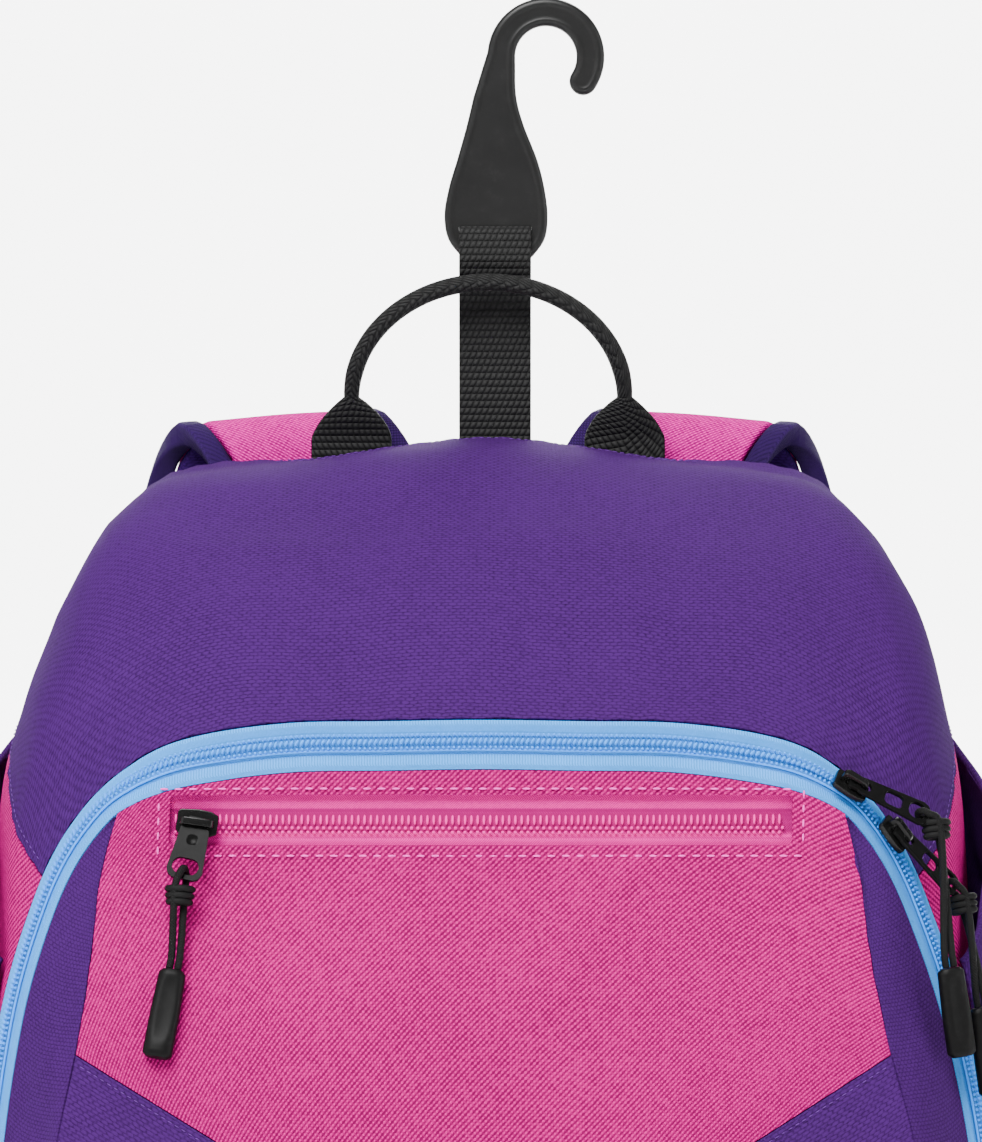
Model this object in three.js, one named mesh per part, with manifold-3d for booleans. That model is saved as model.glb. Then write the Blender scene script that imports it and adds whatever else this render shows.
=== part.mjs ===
// A baseball bat backpack that stands on its base.
// Millimetres, +Z up, the front faces -Y, and the origin is under the middle of the bag.
import * as THREE from "three";
import { mergeVertices } from "three/addons/utils/BufferGeometryUtils.js";
import Module from "manifold-3d";

const wasm = await Module();
wasm.setup();

// Driving dimensions of the bag
const bagHeight = 470; // floor to the crest seam
const bodyWidth = 340; // widest point of the body, without the bat sleeves
const bodyDepth = 125; // back seam to the side edge of the flap zip
const backSeamY = 75;
const flapDepth = 50; // how far the front compartment stands out of the zip
const flapBulge = 7;
const sideLean = 2.5; // the soft body sags this far to one side at zip height
const clothWall = 1.6;
const baseWall = 3;
const backPadThickness = 8;
const gap = 0.3;

// Zips
const tapeWidth = 16;
const tapeThickness = 1.2;
const coilWidth = 6.4;
const coilHeight = 1.8;
const pocketLength = 202;
const pocketWindowHeight = 14;
const pocketTapeMargin = 4;
const pocketDrop = 17.5; // flap's top edge down to the pocket coil
const pocketTapeThickness = 0.8;

// Bat sleeves
const sleeveWall = 1.6;
const sleeveRoom = 11; // how far a sleeve stands off the side panel
const sleeveSeat = 0.9;

// Carrying parts
const webWidth = 25;
const webThickness = 1.5;
const seamDepth = 12; // how far webbing reaches into the crest seam
const hookX = 2.4;
const hookThickness = 7;
const hookBarHeight = 9;
const hookBarAboveCrest = 62;
const handleSpan = 95;
const handleRise = 54;
const handleThickness = 6.4;
const handleDepth = 8.4;
const handleFootWidth = 28;
const handleLean = 10.5;
const strapWidth = 72;
const strapPad = 8;
const bindingWidth = 9;
const bindingProud = 0.4;
const strapTilt = 4;
const strapWebWidth = 20;
const adjusterHeight = 26;
const adjusterThickness = 6;

// Zip pulls
const sliderWidth = 9;
const sliderPlate = 2.2;
const sliderFromEnd = 10.4;
const bridgeThickness = 1.8;
const bridgeWidth = 2.4;
const tabThickness = 1.4;
const tabWidth = 10.5;
const tabBar = 1.6;
const cordDiameter = 2.4;
const gripWidth = 9.6;
const gripLength = 29;
const gripThickness = 6;

const colours = {
  purple: 0x6a4796,
  lowerPurple: 0x654494,
  pink: 0xda5799,
  strapPink: 0xef7ebb,
  blue: 0x99c1f6,
  coilPink: 0xba4281,
  black: 0x2c2c2e,
};
const finishes = {
  purple: { color: colours.purple, roughness: 0.85 },
  lowerPurple: { color: colours.lowerPurple, roughness: 0.85 },
  pink: { color: colours.pink, roughness: 0.9 },
  strapPink: { color: colours.strapPink, roughness: 0.9 },
  blueTape: { color: colours.blue, roughness: 0.8 },
  coilPink: { color: colours.coilPink, roughness: 0.6 },
  webbing: { color: colours.black, roughness: 0.9 },
  blackPlastic: { color: colours.black, roughness: 0.5 },
  blackMetal: { color: colours.black, roughness: 0.35, metalness: 0.7 },
  rubber: { color: colours.black, roughness: 0.7 },
};

const half = bodyWidth / 2;
const baseTop = baseWall + gap;
const bag = new THREE.Group();

const vec = (x, y, z) => new THREE.Vector3(x, y, z);
const { lerp: mix, clamp, degToRad } = THREE.MathUtils;
const heightAt = (percent) => mix(baseTop, bagHeight, percent / 100);
const widthAt = (percent) => (half * percent) / 100;
const depthAt = (percent) => backSeamY - (bodyDepth * percent) / 100;

// Body outlines from the crest to the base at four depths, in percent of half the width and of the height.
// The last columns are the flap zip's line: its depth in percent of the body's, and how far its tape is
// turned from facing forward to facing sideways, in degrees.
const outlineRows = [
  { back: [0, 100], rear: [0, 98.9], middle: [0, 95.7], front: [0, 90.1], zip: [0, 79.5], depth: 111.2, turn: 8 },
  { back: [19.5, 99.3], rear: [19.5, 98.4], middle: [19.5, 95.4], front: [19.5, 90], zip: [19.5, 79.4], depth: 111.2, turn: 8 },
  { back: [36, 98.4], rear: [36, 97.8], middle: [36, 95], front: [36, 89.8], zip: [36, 79.3], depth: 111.2, turn: 8 },
  { back: [55.5, 98.1], rear: [56, 97.4], middle: [56, 94.3], front: [54.5, 89.2], zip: [50, 78.7], depth: 111.2, turn: 14 },
  { back: [66.5, 97], rear: [69, 96.3], middle: [69.5, 93.2], front: [66, 87.9], zip: [59.5, 77.9], depth: 110.4, turn: 30 },
  { back: [73.5, 94.6], rear: [76, 94], middle: [77.7, 91.2], front: [74.5, 85.9], zip: [66, 76.8], depth: 109.2, turn: 46 },
  { back: [78, 91.4], rear: [81, 90.8], middle: [83.5, 88.2], front: [80.5, 83.3], zip: [71.5, 75.4], depth: 108, turn: 56 },
  { back: [82, 87.3], rear: [84.5, 87.1], middle: [87.6, 84.9], front: [84.7, 80.5], zip: [76, 73.5], depth: 107.2, turn: 58 },
  { back: [85.5, 82.4], rear: [88, 82.4], middle: [91, 81.1], front: [87.6, 77.5], zip: [80, 71.2], depth: 106.4, turn: 59 },
  { back: [88.5, 75.4], rear: [91.5, 75.4], middle: [95, 74.7], front: [91.2, 71.7], zip: [84, 67.9], depth: 106, turn: 60 },
  { back: [90.6, 63.6], rear: [94.1, 63.6], middle: [96.5, 63.6], front: [93.8, 62.6], zip: [90.5, 60.4], depth: 105.6, turn: 60 },
  { back: [91.8, 46.4], rear: [95.6, 46.4], middle: [97.6, 46.4], front: [96.6, 46.4], zip: [96.5, 46.4], depth: 105.6, turn: 60 },
  { back: [92, 25], rear: [95.8, 25], middle: [97.6, 25], front: [97, 25], zip: [97, 25], depth: 105.6, turn: 60 },
  { back: [91, 10], rear: [94.5, 10], middle: [96, 10], front: [95.5, 10], zip: [95.5, 10], depth: 105.6, turn: 60 },
  { back: [88.5, 3.2], rear: [91.5, 3.2], middle: [93, 3.2], front: [92.5, 3.2], zip: [92, 3.2], depth: 105.6, turn: 60 },
  { back: [84, 0], rear: [86, 0], middle: [87.5, 0], front: [87, 0], zip: [86.5, 0], depth: 105.6, turn: 60 },
];
const stationDepths = { back: 0, rear: 30, middle: 58, front: 87 };

// Heights in percent, from the back seam to the zip, of the seam between the top and side panels and of
// the bat sleeve's top edge.
const seamHeights = [84.5, 81.8, 78.3, 73, 70];
const sleeveHeights = [80.5, 77.5, 74, 65.8, 62.8];
const sleeveBottom = 9;
const sleeveReach = { rear: 0.06, front: 0.93 };

// The flap's side edge below its top corner: percent of half the width, of the height and of flapDepth.
const flapRows = [
  { x: 72.6, z: 70.2, out: 13 },
  { x: 73.8, z: 66.1, out: 26 },
  { x: 75, z: 62.9, out: 40 },
  { x: 77.2, z: 58.6, out: 53 },
  { x: 80.8, z: 52.9, out: 66 },
  { x: 85.3, z: 42.1, out: 82 },
  { x: 87.6, z: 31.4, out: 90 },
  { x: 88.2, z: 20.7, out: 94 },
  { x: 87.5, z: 10, out: 92 },
  { x: 85.5, z: 4.5, out: 84 },
  { x: 81, z: 0, out: 68 },
];
const flapCornerX = 69.6; // percent of half the width
const colourSeam = { edge: 58.6, middle: 41.9 }; // heights where pink turns to purple

// A mesh of the bag in a named finish
function addMesh(name, geometry, finish, parent = bag) {
  const mesh = new THREE.Mesh(geometry, new THREE.MeshStandardMaterial(finishes[finish]));
  mesh.name = name;
  parent.add(mesh);
  return mesh;
}

// A geometry from corner triples, turned so that its faces point out
function closedGeometry(corners) {
  let volume = 0;
  for (let i = 0; i < corners.length; i += 3) {
    const [a, b, c] = corners.slice(i, i + 3);
    volume += a.dot(vec(0, 0, 0).crossVectors(b, c));
  }
  const ordered = volume < 0 ? corners.reverse() : corners;
  return new THREE.BufferGeometry().setFromPoints(ordered);
}

function pushQuad(corners, a, b, c, d) {
  corners.push(a, b, c, a, c, d);
}

// A solid between a grid of outer points and the matching grid of inner points
function slab(outer, inner) {
  const rows = outer.length - 1;
  const columns = outer[0].length - 1;
  const corners = [];
  for (let i = 0; i < rows; i++) {
    for (let j = 0; j < columns; j++) {
      pushQuad(corners, outer[i][j], outer[i + 1][j], outer[i + 1][j + 1], outer[i][j + 1]);
      pushQuad(corners, inner[i][j], inner[i][j + 1], inner[i + 1][j + 1], inner[i + 1][j]);
    }
  }
  for (let i = 0; i < rows; i++) {
    pushQuad(corners, outer[i + 1][0], outer[i][0], inner[i][0], inner[i + 1][0]);
    pushQuad(corners, outer[i][columns], outer[i + 1][columns], inner[i + 1][columns], inner[i][columns]);
  }
  for (let j = 0; j < columns; j++) {
    pushQuad(corners, outer[0][j], outer[0][j + 1], inner[0][j + 1], inner[0][j]);
    pushQuad(corners, outer[rows][j + 1], outer[rows][j], inner[rows][j], inner[rows][j + 1]);
  }
  return closedGeometry(corners);
}

// Triangles that fill a flat closed loop
function capTriangles(loop) {
  const middle = loop.reduce((sum, p) => sum.add(p), vec(0, 0, 0)).divideScalar(loop.length);
  const normal = vec(0, 0, 0);
  loop.forEach((p, i) => {
    const next = loop[(i + 1) % loop.length];
    normal.add(p.clone().sub(middle).cross(next.clone().sub(middle)));
  });
  normal.normalize();
  const side = loop[0].clone().sub(middle).normalize();
  const up = normal.clone().cross(side);
  const flat = loop.map((p) => {
    const r = p.clone().sub(middle);
    return new THREE.Vector2(r.dot(side), r.dot(up));
  });
  return THREE.ShapeUtils.triangulateShape(flat, []);
}

// A solid through a row of closed loops with as many points each
function loft(loops) {
  const corners = [];
  const count = loops[0].length;
  for (let i = 0; i + 1 < loops.length; i++) {
    for (let j = 0; j < count; j++) {
      const k = (j + 1) % count;
      pushQuad(corners, loops[i][j], loops[i][k], loops[i + 1][k], loops[i + 1][j]);
    }
  }
  const first = loops[0];
  const last = loops[loops.length - 1];
  capTriangles(first).forEach(([a, b, c]) => corners.push(first[a], first[c], first[b]));
  capTriangles(last).forEach(([a, b, c]) => corners.push(last[a], last[b], last[c]));
  return closedGeometry(corners);
}

function toSolid(geometry) {
  const bare = geometry.clone();
  bare.deleteAttribute("normal");
  bare.deleteAttribute("uv");
  const merged = mergeVertices(bare, 1e-4);
  const vertProperties = new Float32Array(merged.attributes.position.array);
  const triVerts = new Uint32Array(merged.index.array);
  return new wasm.Manifold(new wasm.Mesh({ numProp: 3, vertProperties, triVerts }));
}

function fromSolid(solid) {
  const mesh = solid.getMesh();
  const geometry = new THREE.BufferGeometry();
  geometry.setAttribute("position", new THREE.BufferAttribute(mesh.vertProperties, 3));
  geometry.setIndex(new THREE.BufferAttribute(mesh.triVerts, 1));
  return geometry;
}

const cutAway = (geometry, tool) => fromSolid(toSolid(geometry).subtract(toSolid(tool)));
const joined = (a, b) => fromSolid(toSolid(a).add(toSolid(b)));

// A rounded rectangle around the origin, as a shape
function roundedShape(width, height, radius) {
  const x = width / 2;
  const y = height / 2;
  const shape = new THREE.Shape();
  shape.moveTo(-x + radius, -y);
  shape.lineTo(x - radius, -y);
  shape.absarc(x - radius, -y + radius, radius, -Math.PI / 2, 0);
  shape.lineTo(x, y - radius);
  shape.absarc(x - radius, y - radius, radius, 0, Math.PI / 2);
  shape.lineTo(-x + radius, y);
  shape.absarc(-x + radius, y - radius, radius, Math.PI / 2, Math.PI);
  shape.lineTo(-x, -y + radius);
  shape.absarc(-x + radius, -y + radius, radius, Math.PI, 1.5 * Math.PI);
  return shape;
}

// A plate from a shape drawn in X and Z, centred on y = 0
function uprightPlate(shape, thickness, bevel = 0, curveSegments = 3) {
  const geometry = new THREE.ExtrudeGeometry(shape, {
    depth: thickness - 2 * bevel,
    curveSegments,
    bevelEnabled: bevel > 0,
    bevelThickness: bevel,
    bevelSize: bevel,
    bevelOffset: -bevel,
    bevelSegments: 1,
  });
  geometry.translate(0, 0, bevel - thickness / 2);
  geometry.rotateX(Math.PI / 2);
  return geometry;
}

// How far the sagging body moves sideways at a height
function leanAt(z) {
  const fall = (z / bagHeight - 0.7) / 0.15;
  return -sideLean * Math.exp(-fall * fall);
}

function leaned(geometry) {
  const position = geometry.attributes.position;
  for (let i = 0; i < position.count; i++) {
    position.setX(i, position.getX(i) + leanAt(position.getZ(i)));
  }
  return geometry;
}

// The direction into the bag, towards a core box inside it, so that panels that meet share it
const core = new THREE.Box3(
  vec(-0.6 * half, depthAt(85), 0.15 * bagHeight),
  vec(0.6 * half, depthAt(36), 0.8 * bagHeight),
);
const inward = (p) => core.clampPoint(p, vec(0, 0, 0)).sub(p).normalize();

function gridNormal(grid, i, j) {
  const rows = grid.length - 1;
  const columns = grid[0].length - 1;
  const down = grid[Math.min(i + 1, rows)][j].clone().sub(grid[Math.max(i - 1, 0)][j]);
  const across = grid[i][Math.min(j + 1, columns)].clone().sub(grid[i][Math.max(j - 1, 0)]);
  return down.cross(across).normalize();
}

// Moves each point of a grid into the bag until it lies this deep under the grid's surface
function sunk(grid, depth) {
  return grid.map((row, i) =>
    row.map((p, j) => {
      const direction = inward(p);
      const facing = Math.abs(gridNormal(grid, i, j).dot(direction));
      return p.clone().addScaledVector(direction, depth / clamp(facing, 0.6, 1));
    }),
  );
}

const panel = (grid, wall) => leaned(slab(grid, sunk(grid, wall)));

function gridOf(rows, columns, pointAt) {
  const grid = [];
  for (let i = 0; i <= rows; i++) {
    const row = [];
    for (let j = 0; j <= columns; j++) row.push(pointAt(i / rows, j / columns));
    grid.push(row);
  }
  return grid;
}

// The whole line over the bag from a half line that runs from the crest down the right side
function mirroredCurve(points) {
  const left = points.slice(1).reverse().map((p) => vec(-p.x, p.y, p.z));
  return new THREE.CatmullRomCurve3([...left, ...points], false, "centripetal");
}

// The flap zip: its line, and the tape's directions along it
const zipLine = mirroredCurve(
  outlineRows.map((row) => vec(widthAt(row.zip[0]), depthAt(row.depth), heightAt(row.zip[1]))),
);
const lastRow = outlineRows.length - 1;

function zipFrame(s) {
  const rowPlace = Math.abs(s - 0.5) * 2 * lastRow;
  const row = Math.min(Math.floor(rowPlace), lastRow - 1);
  const turn = degToRad(mix(outlineRows[row].turn, outlineRows[row + 1].turn, rowPlace - row));
  const along = zipLine.getTangent(s);
  const outward = vec(-along.z, 0, along.x).normalize();
  const rearward = vec(0, 1, 0);
  const across = outward.clone().multiplyScalar(Math.cos(turn)).addScaledVector(rearward, Math.sin(turn));
  const facing = outward.clone().multiplyScalar(Math.sin(turn)).addScaledVector(rearward, -Math.cos(turn));
  return { centre: zipLine.getPoint(s), along, across, facing };
}

function tapePoint(s, offset) {
  const frame = zipFrame(s);
  const point = frame.centre.addScaledVector(frame.across, offset);
  point.z = Math.max(point.z, baseTop);
  return point;
}

// The body's skin: rails run from the back seam to the zip, and a ring crosses them at each depth
const rails = outlineRows.map((row, i) => {
  const points = Object.entries(stationDepths).map(([name, depth]) =>
    vec(widthAt(row[name][0]), depthAt(depth), heightAt(row[name][1])),
  );
  points.push(tapePoint(0.5 + i / (2 * lastRow), tapeWidth / 2 + 2.5 * gap));
  return new THREE.CatmullRomCurve3(points, false, "centripetal");
});

const ringAt = (t) => mirroredCurve(rails.map((rail) => rail.getPoint(t)));

// The place along a ring where its right side comes down to a height
function ringPlace(ring, height) {
  let low = 0.5;
  let high = 1;
  for (let step = 0; step < 30; step++) {
    const middle = (low + high) / 2;
    if (ring.getPointAt(middle).z > height) low = middle;
    else high = middle;
  }
  return low;
}

// A height from a list of percents that are evenly spaced from the back seam to the zip
function heightAlong(percents, t) {
  const place = t * (percents.length - 1);
  const i = Math.min(Math.floor(place), percents.length - 2);
  return heightAt(mix(percents[i], percents[i + 1], place - i));
}

const mirrored = (grid) => grid.map((row) => row.map((p) => vec(-p.x, p.y, p.z)));

function addTopPanel() {
  const grid = gridOf(9, 22, (t, w) => {
    const ring = ringAt(t);
    const end = ringPlace(ring, heightAlong(seamHeights, t)) - gap / ring.getLength();
    return ring.getPointAt(mix(1 - end, end, w));
  });
  addMesh("top_panel", panel(grid, clothWall), "purple");
}

function addSidePanels() {
  const grid = gridOf(9, 10, (t, w) => {
    const ring = ringAt(t);
    const start = ringPlace(ring, heightAlong(seamHeights, t)) + gap / ring.getLength();
    return ring.getPointAt(mix(start, 1, 1 - (1 - w) ** 1.4));
  });
  addMesh("side_panel_right", panel(grid, clothWall), "pink");
  addMesh("side_panel_left", panel(mirrored(grid), clothWall), "pink");
}

// A bat sleeve is a pocket on the side panel, open at its slanted top edge
function addBatSleeves() {
  const columns = 10;
  const rows = 10;
  const skin = gridOf(columns, rows, (a, w) => {
    const t = mix(sleeveReach.rear, sleeveReach.front, a);
    const ring = ringAt(t);
    const top = ringPlace(ring, heightAlong(sleeveHeights, t));
    const bottom = ringPlace(ring, heightAt(sleeveBottom));
    return ring.getPointAt(mix(top, bottom, w));
  });
  const standOff = (i, j) => {
    const across = Math.sin((Math.PI * i) / columns) ** 0.6;
    const fall = j / rows;
    const along = fall < 0.25 ? mix(0.62, 1, fall / 0.25) : Math.cos(((fall - 0.25) / 0.75) * (Math.PI / 2)) ** 0.5;
    return sleeveSeat + sleeveRoom * across * Math.max(along, 0);
  };
  const layer = (extra) =>
    skin.map((row, i) =>
      row.map((p, j) => {
        const normal = gridNormal(skin, i, j);
        if (normal.x < 0) normal.negate();
        return p.clone().addScaledVector(normal, standOff(i, j) + extra);
      }),
    );
  const inner = layer(0);
  const outer = layer(sleeveWall);
  addMesh("bat_sleeve_right", leaned(slab(outer, inner)), "lowerPurple");
  addMesh("bat_sleeve_left", leaned(slab(mirrored(outer), mirrored(inner))), "lowerPurple");
}

function addFlapZip() {
  const stations = 56;
  const coilStart = 2;
  const tape = gridOf(stations, 1, (s, w) => tapePoint(s, mix(tapeWidth / 2, -tapeWidth / 2, w)));
  addMesh("flap_zip_tape", panel(tape, tapeThickness), "blueTape");
  const profile = [[-0.5, 0], [-0.3, 1], [0.3, 1], [0.5, 0]];
  const loops = [];
  for (let i = coilStart; i <= stations - coilStart; i++) {
    const { centre, across, facing } = zipFrame(i / stations);
    loops.push(
      profile.map(([side, up]) =>
        centre
          .clone()
          .addScaledVector(across, side * coilWidth)
          .addScaledVector(facing, 2 * gap + up * coilHeight),
      ),
    );
  }
  addMesh("flap_zip_coil", leaned(loft(loops)), "blueTape");
}

// The flap's outline: its top edge follows the zip tape, and its side edge follows flapRows
function zipPlaceAtWidth(x) {
  let low = 0.5;
  let high = 0.5 + 8 / (2 * lastRow);
  for (let step = 0; step < 30; step++) {
    const middle = (low + high) / 2;
    if (tapePoint(middle, -tapeWidth / 2 - gap).x < x) low = middle;
    else high = middle;
  }
  return low;
}

const cornerPlace = zipPlaceAtWidth(widthAt(flapCornerX));
const corner = tapePoint(cornerPlace, -tapeWidth / 2 - gap);
const flapFrontY = depthAt(outlineRows[0].depth);
const flapEdge = new THREE.CatmullRomCurve3(
  [
    corner,
    ...flapRows.map((row) => vec(widthAt(row.x), flapFrontY - (flapDepth * row.out) / 100, heightAt(row.z))),
  ],
  false,
  "centripetal",
);

function edgeAtHeight(z) {
  let low = 0;
  let high = 1;
  for (let step = 0; step < 30; step++) {
    const middle = (low + high) / 2;
    if (flapEdge.getPoint(middle).z > z) low = middle;
    else high = middle;
  }
  return flapEdge.getPoint(low);
}

// The flap's front face at a share u of its half width and a height z, where the side edge's height is zEdge
function flapFace(u, z, zEdge) {
  const edge = edgeAtHeight(zEdge);
  const fall = clamp((corner.z - z) / (corner.z - baseTop), 0, 1);
  const swell = flapBulge * Math.sin(Math.PI * fall ** 0.8) ** 0.8;
  return vec(u * edge.x, edgeAtHeight(z).y - swell * (1 - u * u), z);
}

const seamHeight = (u) => heightAt(mix(colourSeam.middle, colourSeam.edge, Math.abs(u)));

function pinkFace(u, v) {
  const top = tapePoint(zipPlaceAtWidth(Math.abs(u) * corner.x), -tapeWidth / 2 - gap);
  const point = flapFace(u, mix(top.z, seamHeight(u), v), mix(corner.z, seamHeight(1), v));
  const topY = flapFace(u, top.z, corner.z).y;
  point.y += (top.y - topY) * (1 - v) ** 4;
  return point;
}

function pinkFaceAtHeight(u, z) {
  const top = tapePoint(zipPlaceAtWidth(Math.abs(u) * corner.x), -tapeWidth / 2 - gap);
  return pinkFace(u, (top.z - z) / (top.z - seamHeight(u)));
}

const pocketZ = tapePoint(0.5, -tapeWidth / 2).z - pocketDrop;

function addFlapPanels() {
  const inset = 1 - gap / corner.x;
  const pinkGrid = gridOf(10, 22, (v, w) => pinkFace(mix(-inset, inset, w), v));
  const window = uprightPlate(roundedShape(pocketLength, pocketWindowHeight, 3), flapDepth);
  window.translate(0, flapFrontY, pocketZ);
  addMesh("flap_panel_upper", leaned(cutAway(slab(pinkGrid, sunk(pinkGrid, clothWall)), window)), "pink");
  const purpleGrid = gridOf(10, 14, (v, w) => {
    const u = mix(-inset, inset, w);
    const z = mix(seamHeight(u) - 1.4 * gap, baseTop, v);
    return flapFace(u, z, mix(seamHeight(1), baseTop, v));
  });
  addMesh("flap_panel_lower", panel(purpleGrid, clothWall), "lowerPurple");
}

// The flap's side walls, from the zip tape forward to the front face
function addFlapGussets() {
  const between = (v) => {
    const rear = tapePoint(mix(cornerPlace, 1, v), -tapeWidth / 2);
    const front = flapEdge.getPoint(v);
    return { rear, front, width: rear.distanceTo(front) };
  };
  const leastWidth = 6 * gap;
  let start = 0;
  while (between(start).width < leastWidth) start += 0.002;
  const grid = gridOf(18, 3, (a, w) => {
    const { rear, front, width } = between(mix(start, 1, a));
    const margin = gap / width;
    return rear.lerp(front, mix(2 * margin, 1 - margin, w));
  });
  addMesh("flap_gusset_right", panel(grid, clothWall), "purple");
  addMesh("flap_gusset_left", panel(mirrored(grid), clothWall), "purple");
}

// The small pocket's zip lies behind a window in the flap
function addPocketZip() {
  const edgeX = pinkFaceAtHeight(1, pocketZ).x;
  const reach = (pocketLength / 2 + pocketTapeMargin) / edgeX;
  const tall = pocketWindowHeight / 2 + 2.5;
  const depth = clothWall + 3 * gap;
  const front = sunk(
    gridOf(2, 22, (v, w) => pinkFaceAtHeight(mix(-reach, reach, w), pocketZ + mix(tall, -tall, v))),
    depth,
  );
  const rear = front.map((row) => row.map((p) => p.clone().add(vec(0, pocketTapeThickness, 0))));
  addMesh("pocket_zip_tape", leaned(slab(front, rear)), "coilPink");
  const coilReach = (pocketLength / 2 - 2) / edgeX;
  const [above, spine, below] = sunk(
    gridOf(2, 22, (v, w) => pinkFaceAtHeight(mix(-coilReach, coilReach, w), pocketZ + mix(tall, -tall, v))),
    depth - gap,
  );
  const profile = [[-0.5, 0], [-0.3, 1], [0.3, 1], [0.5, 0]];
  const loops = spine.map((p, i) => {
    const up = above[i].clone().sub(below[i]).normalize();
    return profile.map(([side, out]) =>
      p.clone().addScaledVector(up, side * coilWidth).add(vec(0, -out * coilHeight, 0)),
    );
  });
  addMesh("pocket_zip_coil", leaned(loft(loops)), "coilPink");
}

// A flat loop from a half outline that is mirrored across x = 0
function plateLoop(halfPoints, z) {
  const right = halfPoints.map((p) => vec(p.x, p.y, z));
  const left = halfPoints.map((p) => vec(-p.x, p.y, z)).reverse();
  return [...right, ...left];
}

function addBase() {
  const outline = [];
  for (let i = 0; i <= 6; i++) outline.push(ringAt(i / 6).getPointAt(1));
  const rearY = backSeamY + gap + backPadThickness;
  outline.unshift(vec(outline[0].x, rearY, baseTop));
  outline.push(flapEdge.getPoint(1));
  for (const u of [0.75, 0.5, 0.25]) outline.push(flapFace(u, baseTop, baseTop));
  addMesh("base_panel", loft([plateLoop(outline, 0), plateLoop(outline, baseWall)]), "purple");
}

// Boxes in the back panel's seam for the webbing that is sewn into it
function seamRecess(x, width, depth) {
  const slack = 2 * gap;
  const box = new THREE.BoxGeometry(width + slack, depth + slack, seamDepth * 3);
  box.translate(x, backSeamY + gap + (depth + slack) / 2 - slack / 2, bagHeight + seamDepth / 2);
  return box;
}

function addBackPanel() {
  const ring = ringAt(0);
  const count = 40;
  const loopAt = (y, shrink) => {
    const loop = [];
    for (let i = 0; i <= count; i++) {
      const p = ring.getPointAt(i / count);
      loop.push(vec(p.x * (1 - shrink / half), y, mix(p.z, baseTop + bagHeight / 2, (2 * shrink) / bagHeight)));
    }
    return loop;
  };
  const front = backSeamY + gap;
  const rounding = backPadThickness / 2;
  let geometry = leaned(
    loft([loopAt(front, 0), loopAt(front + rounding, 0), loopAt(front + backPadThickness, rounding)]),
  );
  const footDepth = 2 * webThickness + gap;
  geometry = cutAway(geometry, seamRecess(hookX, webWidth, footDepth));
  for (const side of [-1, 1]) {
    geometry = cutAway(geometry, seamRecess((side * handleSpan) / 2, handleFootWidth, footDepth));
  }
  addMesh("back_panel", geometry, "purple");
}

// The fence hook: a flat stem with a slot at its foot and a round crook
const seamMiddleY = backSeamY + 2 * gap + webThickness + gap / 2;
const hookY = seamMiddleY;
const barBottom = bagHeight + hookBarAboveCrest;
const hookStemRows = [
  { height: -0.3, left: -11, right: 12.4 },
  { height: 6.5, left: -16.2, right: 17.2 },
  { height: 14.6, left: -17.6, right: 18.3 },
  { height: 24.6, left: -16, right: 17.1 },
  { height: 34, left: -13.2, right: 14.7 },
  { height: 46.5, left: -9.7, right: 9.8 },
  { height: 55.8, left: -7.5, right: 7.4 },
];
const crook = { x: 17.6, height: 69.7, outer: 20.3, rod: 9.7, end: -33 };

function hookShape() {
  const shape = new THREE.Shape();
  const left = hookStemRows.map((row) => new THREE.Vector2(row.left, row.height));
  const right = hookStemRows.map((row) => new THREE.Vector2(row.right, row.height)).reverse();
  const inner = crook.outer - crook.rod;
  const end = degToRad(crook.end);
  const tip = crook.outer - crook.rod / 2;
  shape.moveTo(left[0].x, left[0].y);
  shape.splineThru(left.slice(1));
  shape.absarc(crook.x, crook.height, crook.outer, Math.PI, end, true);
  shape.absarc(
    crook.x + tip * Math.cos(end),
    crook.height + tip * Math.sin(end),
    crook.rod / 2,
    end,
    end - Math.PI,
    true,
  );
  shape.absarc(crook.x, crook.height, inner, end, Math.PI, false);
  shape.splineThru(right);
  shape.lineTo(left[0].x, left[0].y);
  return shape;
}

function addHook() {
  const stem = uprightPlate(hookShape(), hookThickness, 1.6, 4);
  const slotHeight = webThickness + 3;
  const slot = new THREE.BoxGeometry(webWidth + 2, hookThickness * 2, slotHeight);
  slot.translate(0, 0, hookBarHeight + slotHeight / 2);
  const hook = cutAway(stem, slot);
  addMesh("fence_hook", hook, "blackPlastic").position.set(hookX, hookY, barBottom);
}

// A strip of webbing along a line in Y and Z, as wide as it is in X
function strip(points, x, width, thickness) {
  const loops = points.map((p, i) => {
    const before = points[Math.max(i - 1, 0)];
    const after = points[Math.min(i + 1, points.length - 1)];
    const along = after.clone().sub(before).normalize();
    const normal = vec(0, -along.z, along.y).multiplyScalar(thickness / 2);
    const middle = vec(x, p.y, p.z);
    return [
      middle.clone().add(normal).add(vec(-width / 2, 0, 0)),
      middle.clone().add(normal).add(vec(width / 2, 0, 0)),
      middle.clone().sub(normal).add(vec(width / 2, 0, 0)),
      middle.clone().sub(normal).add(vec(-width / 2, 0, 0)),
    ];
  });
  return loft(loops);
}

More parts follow.
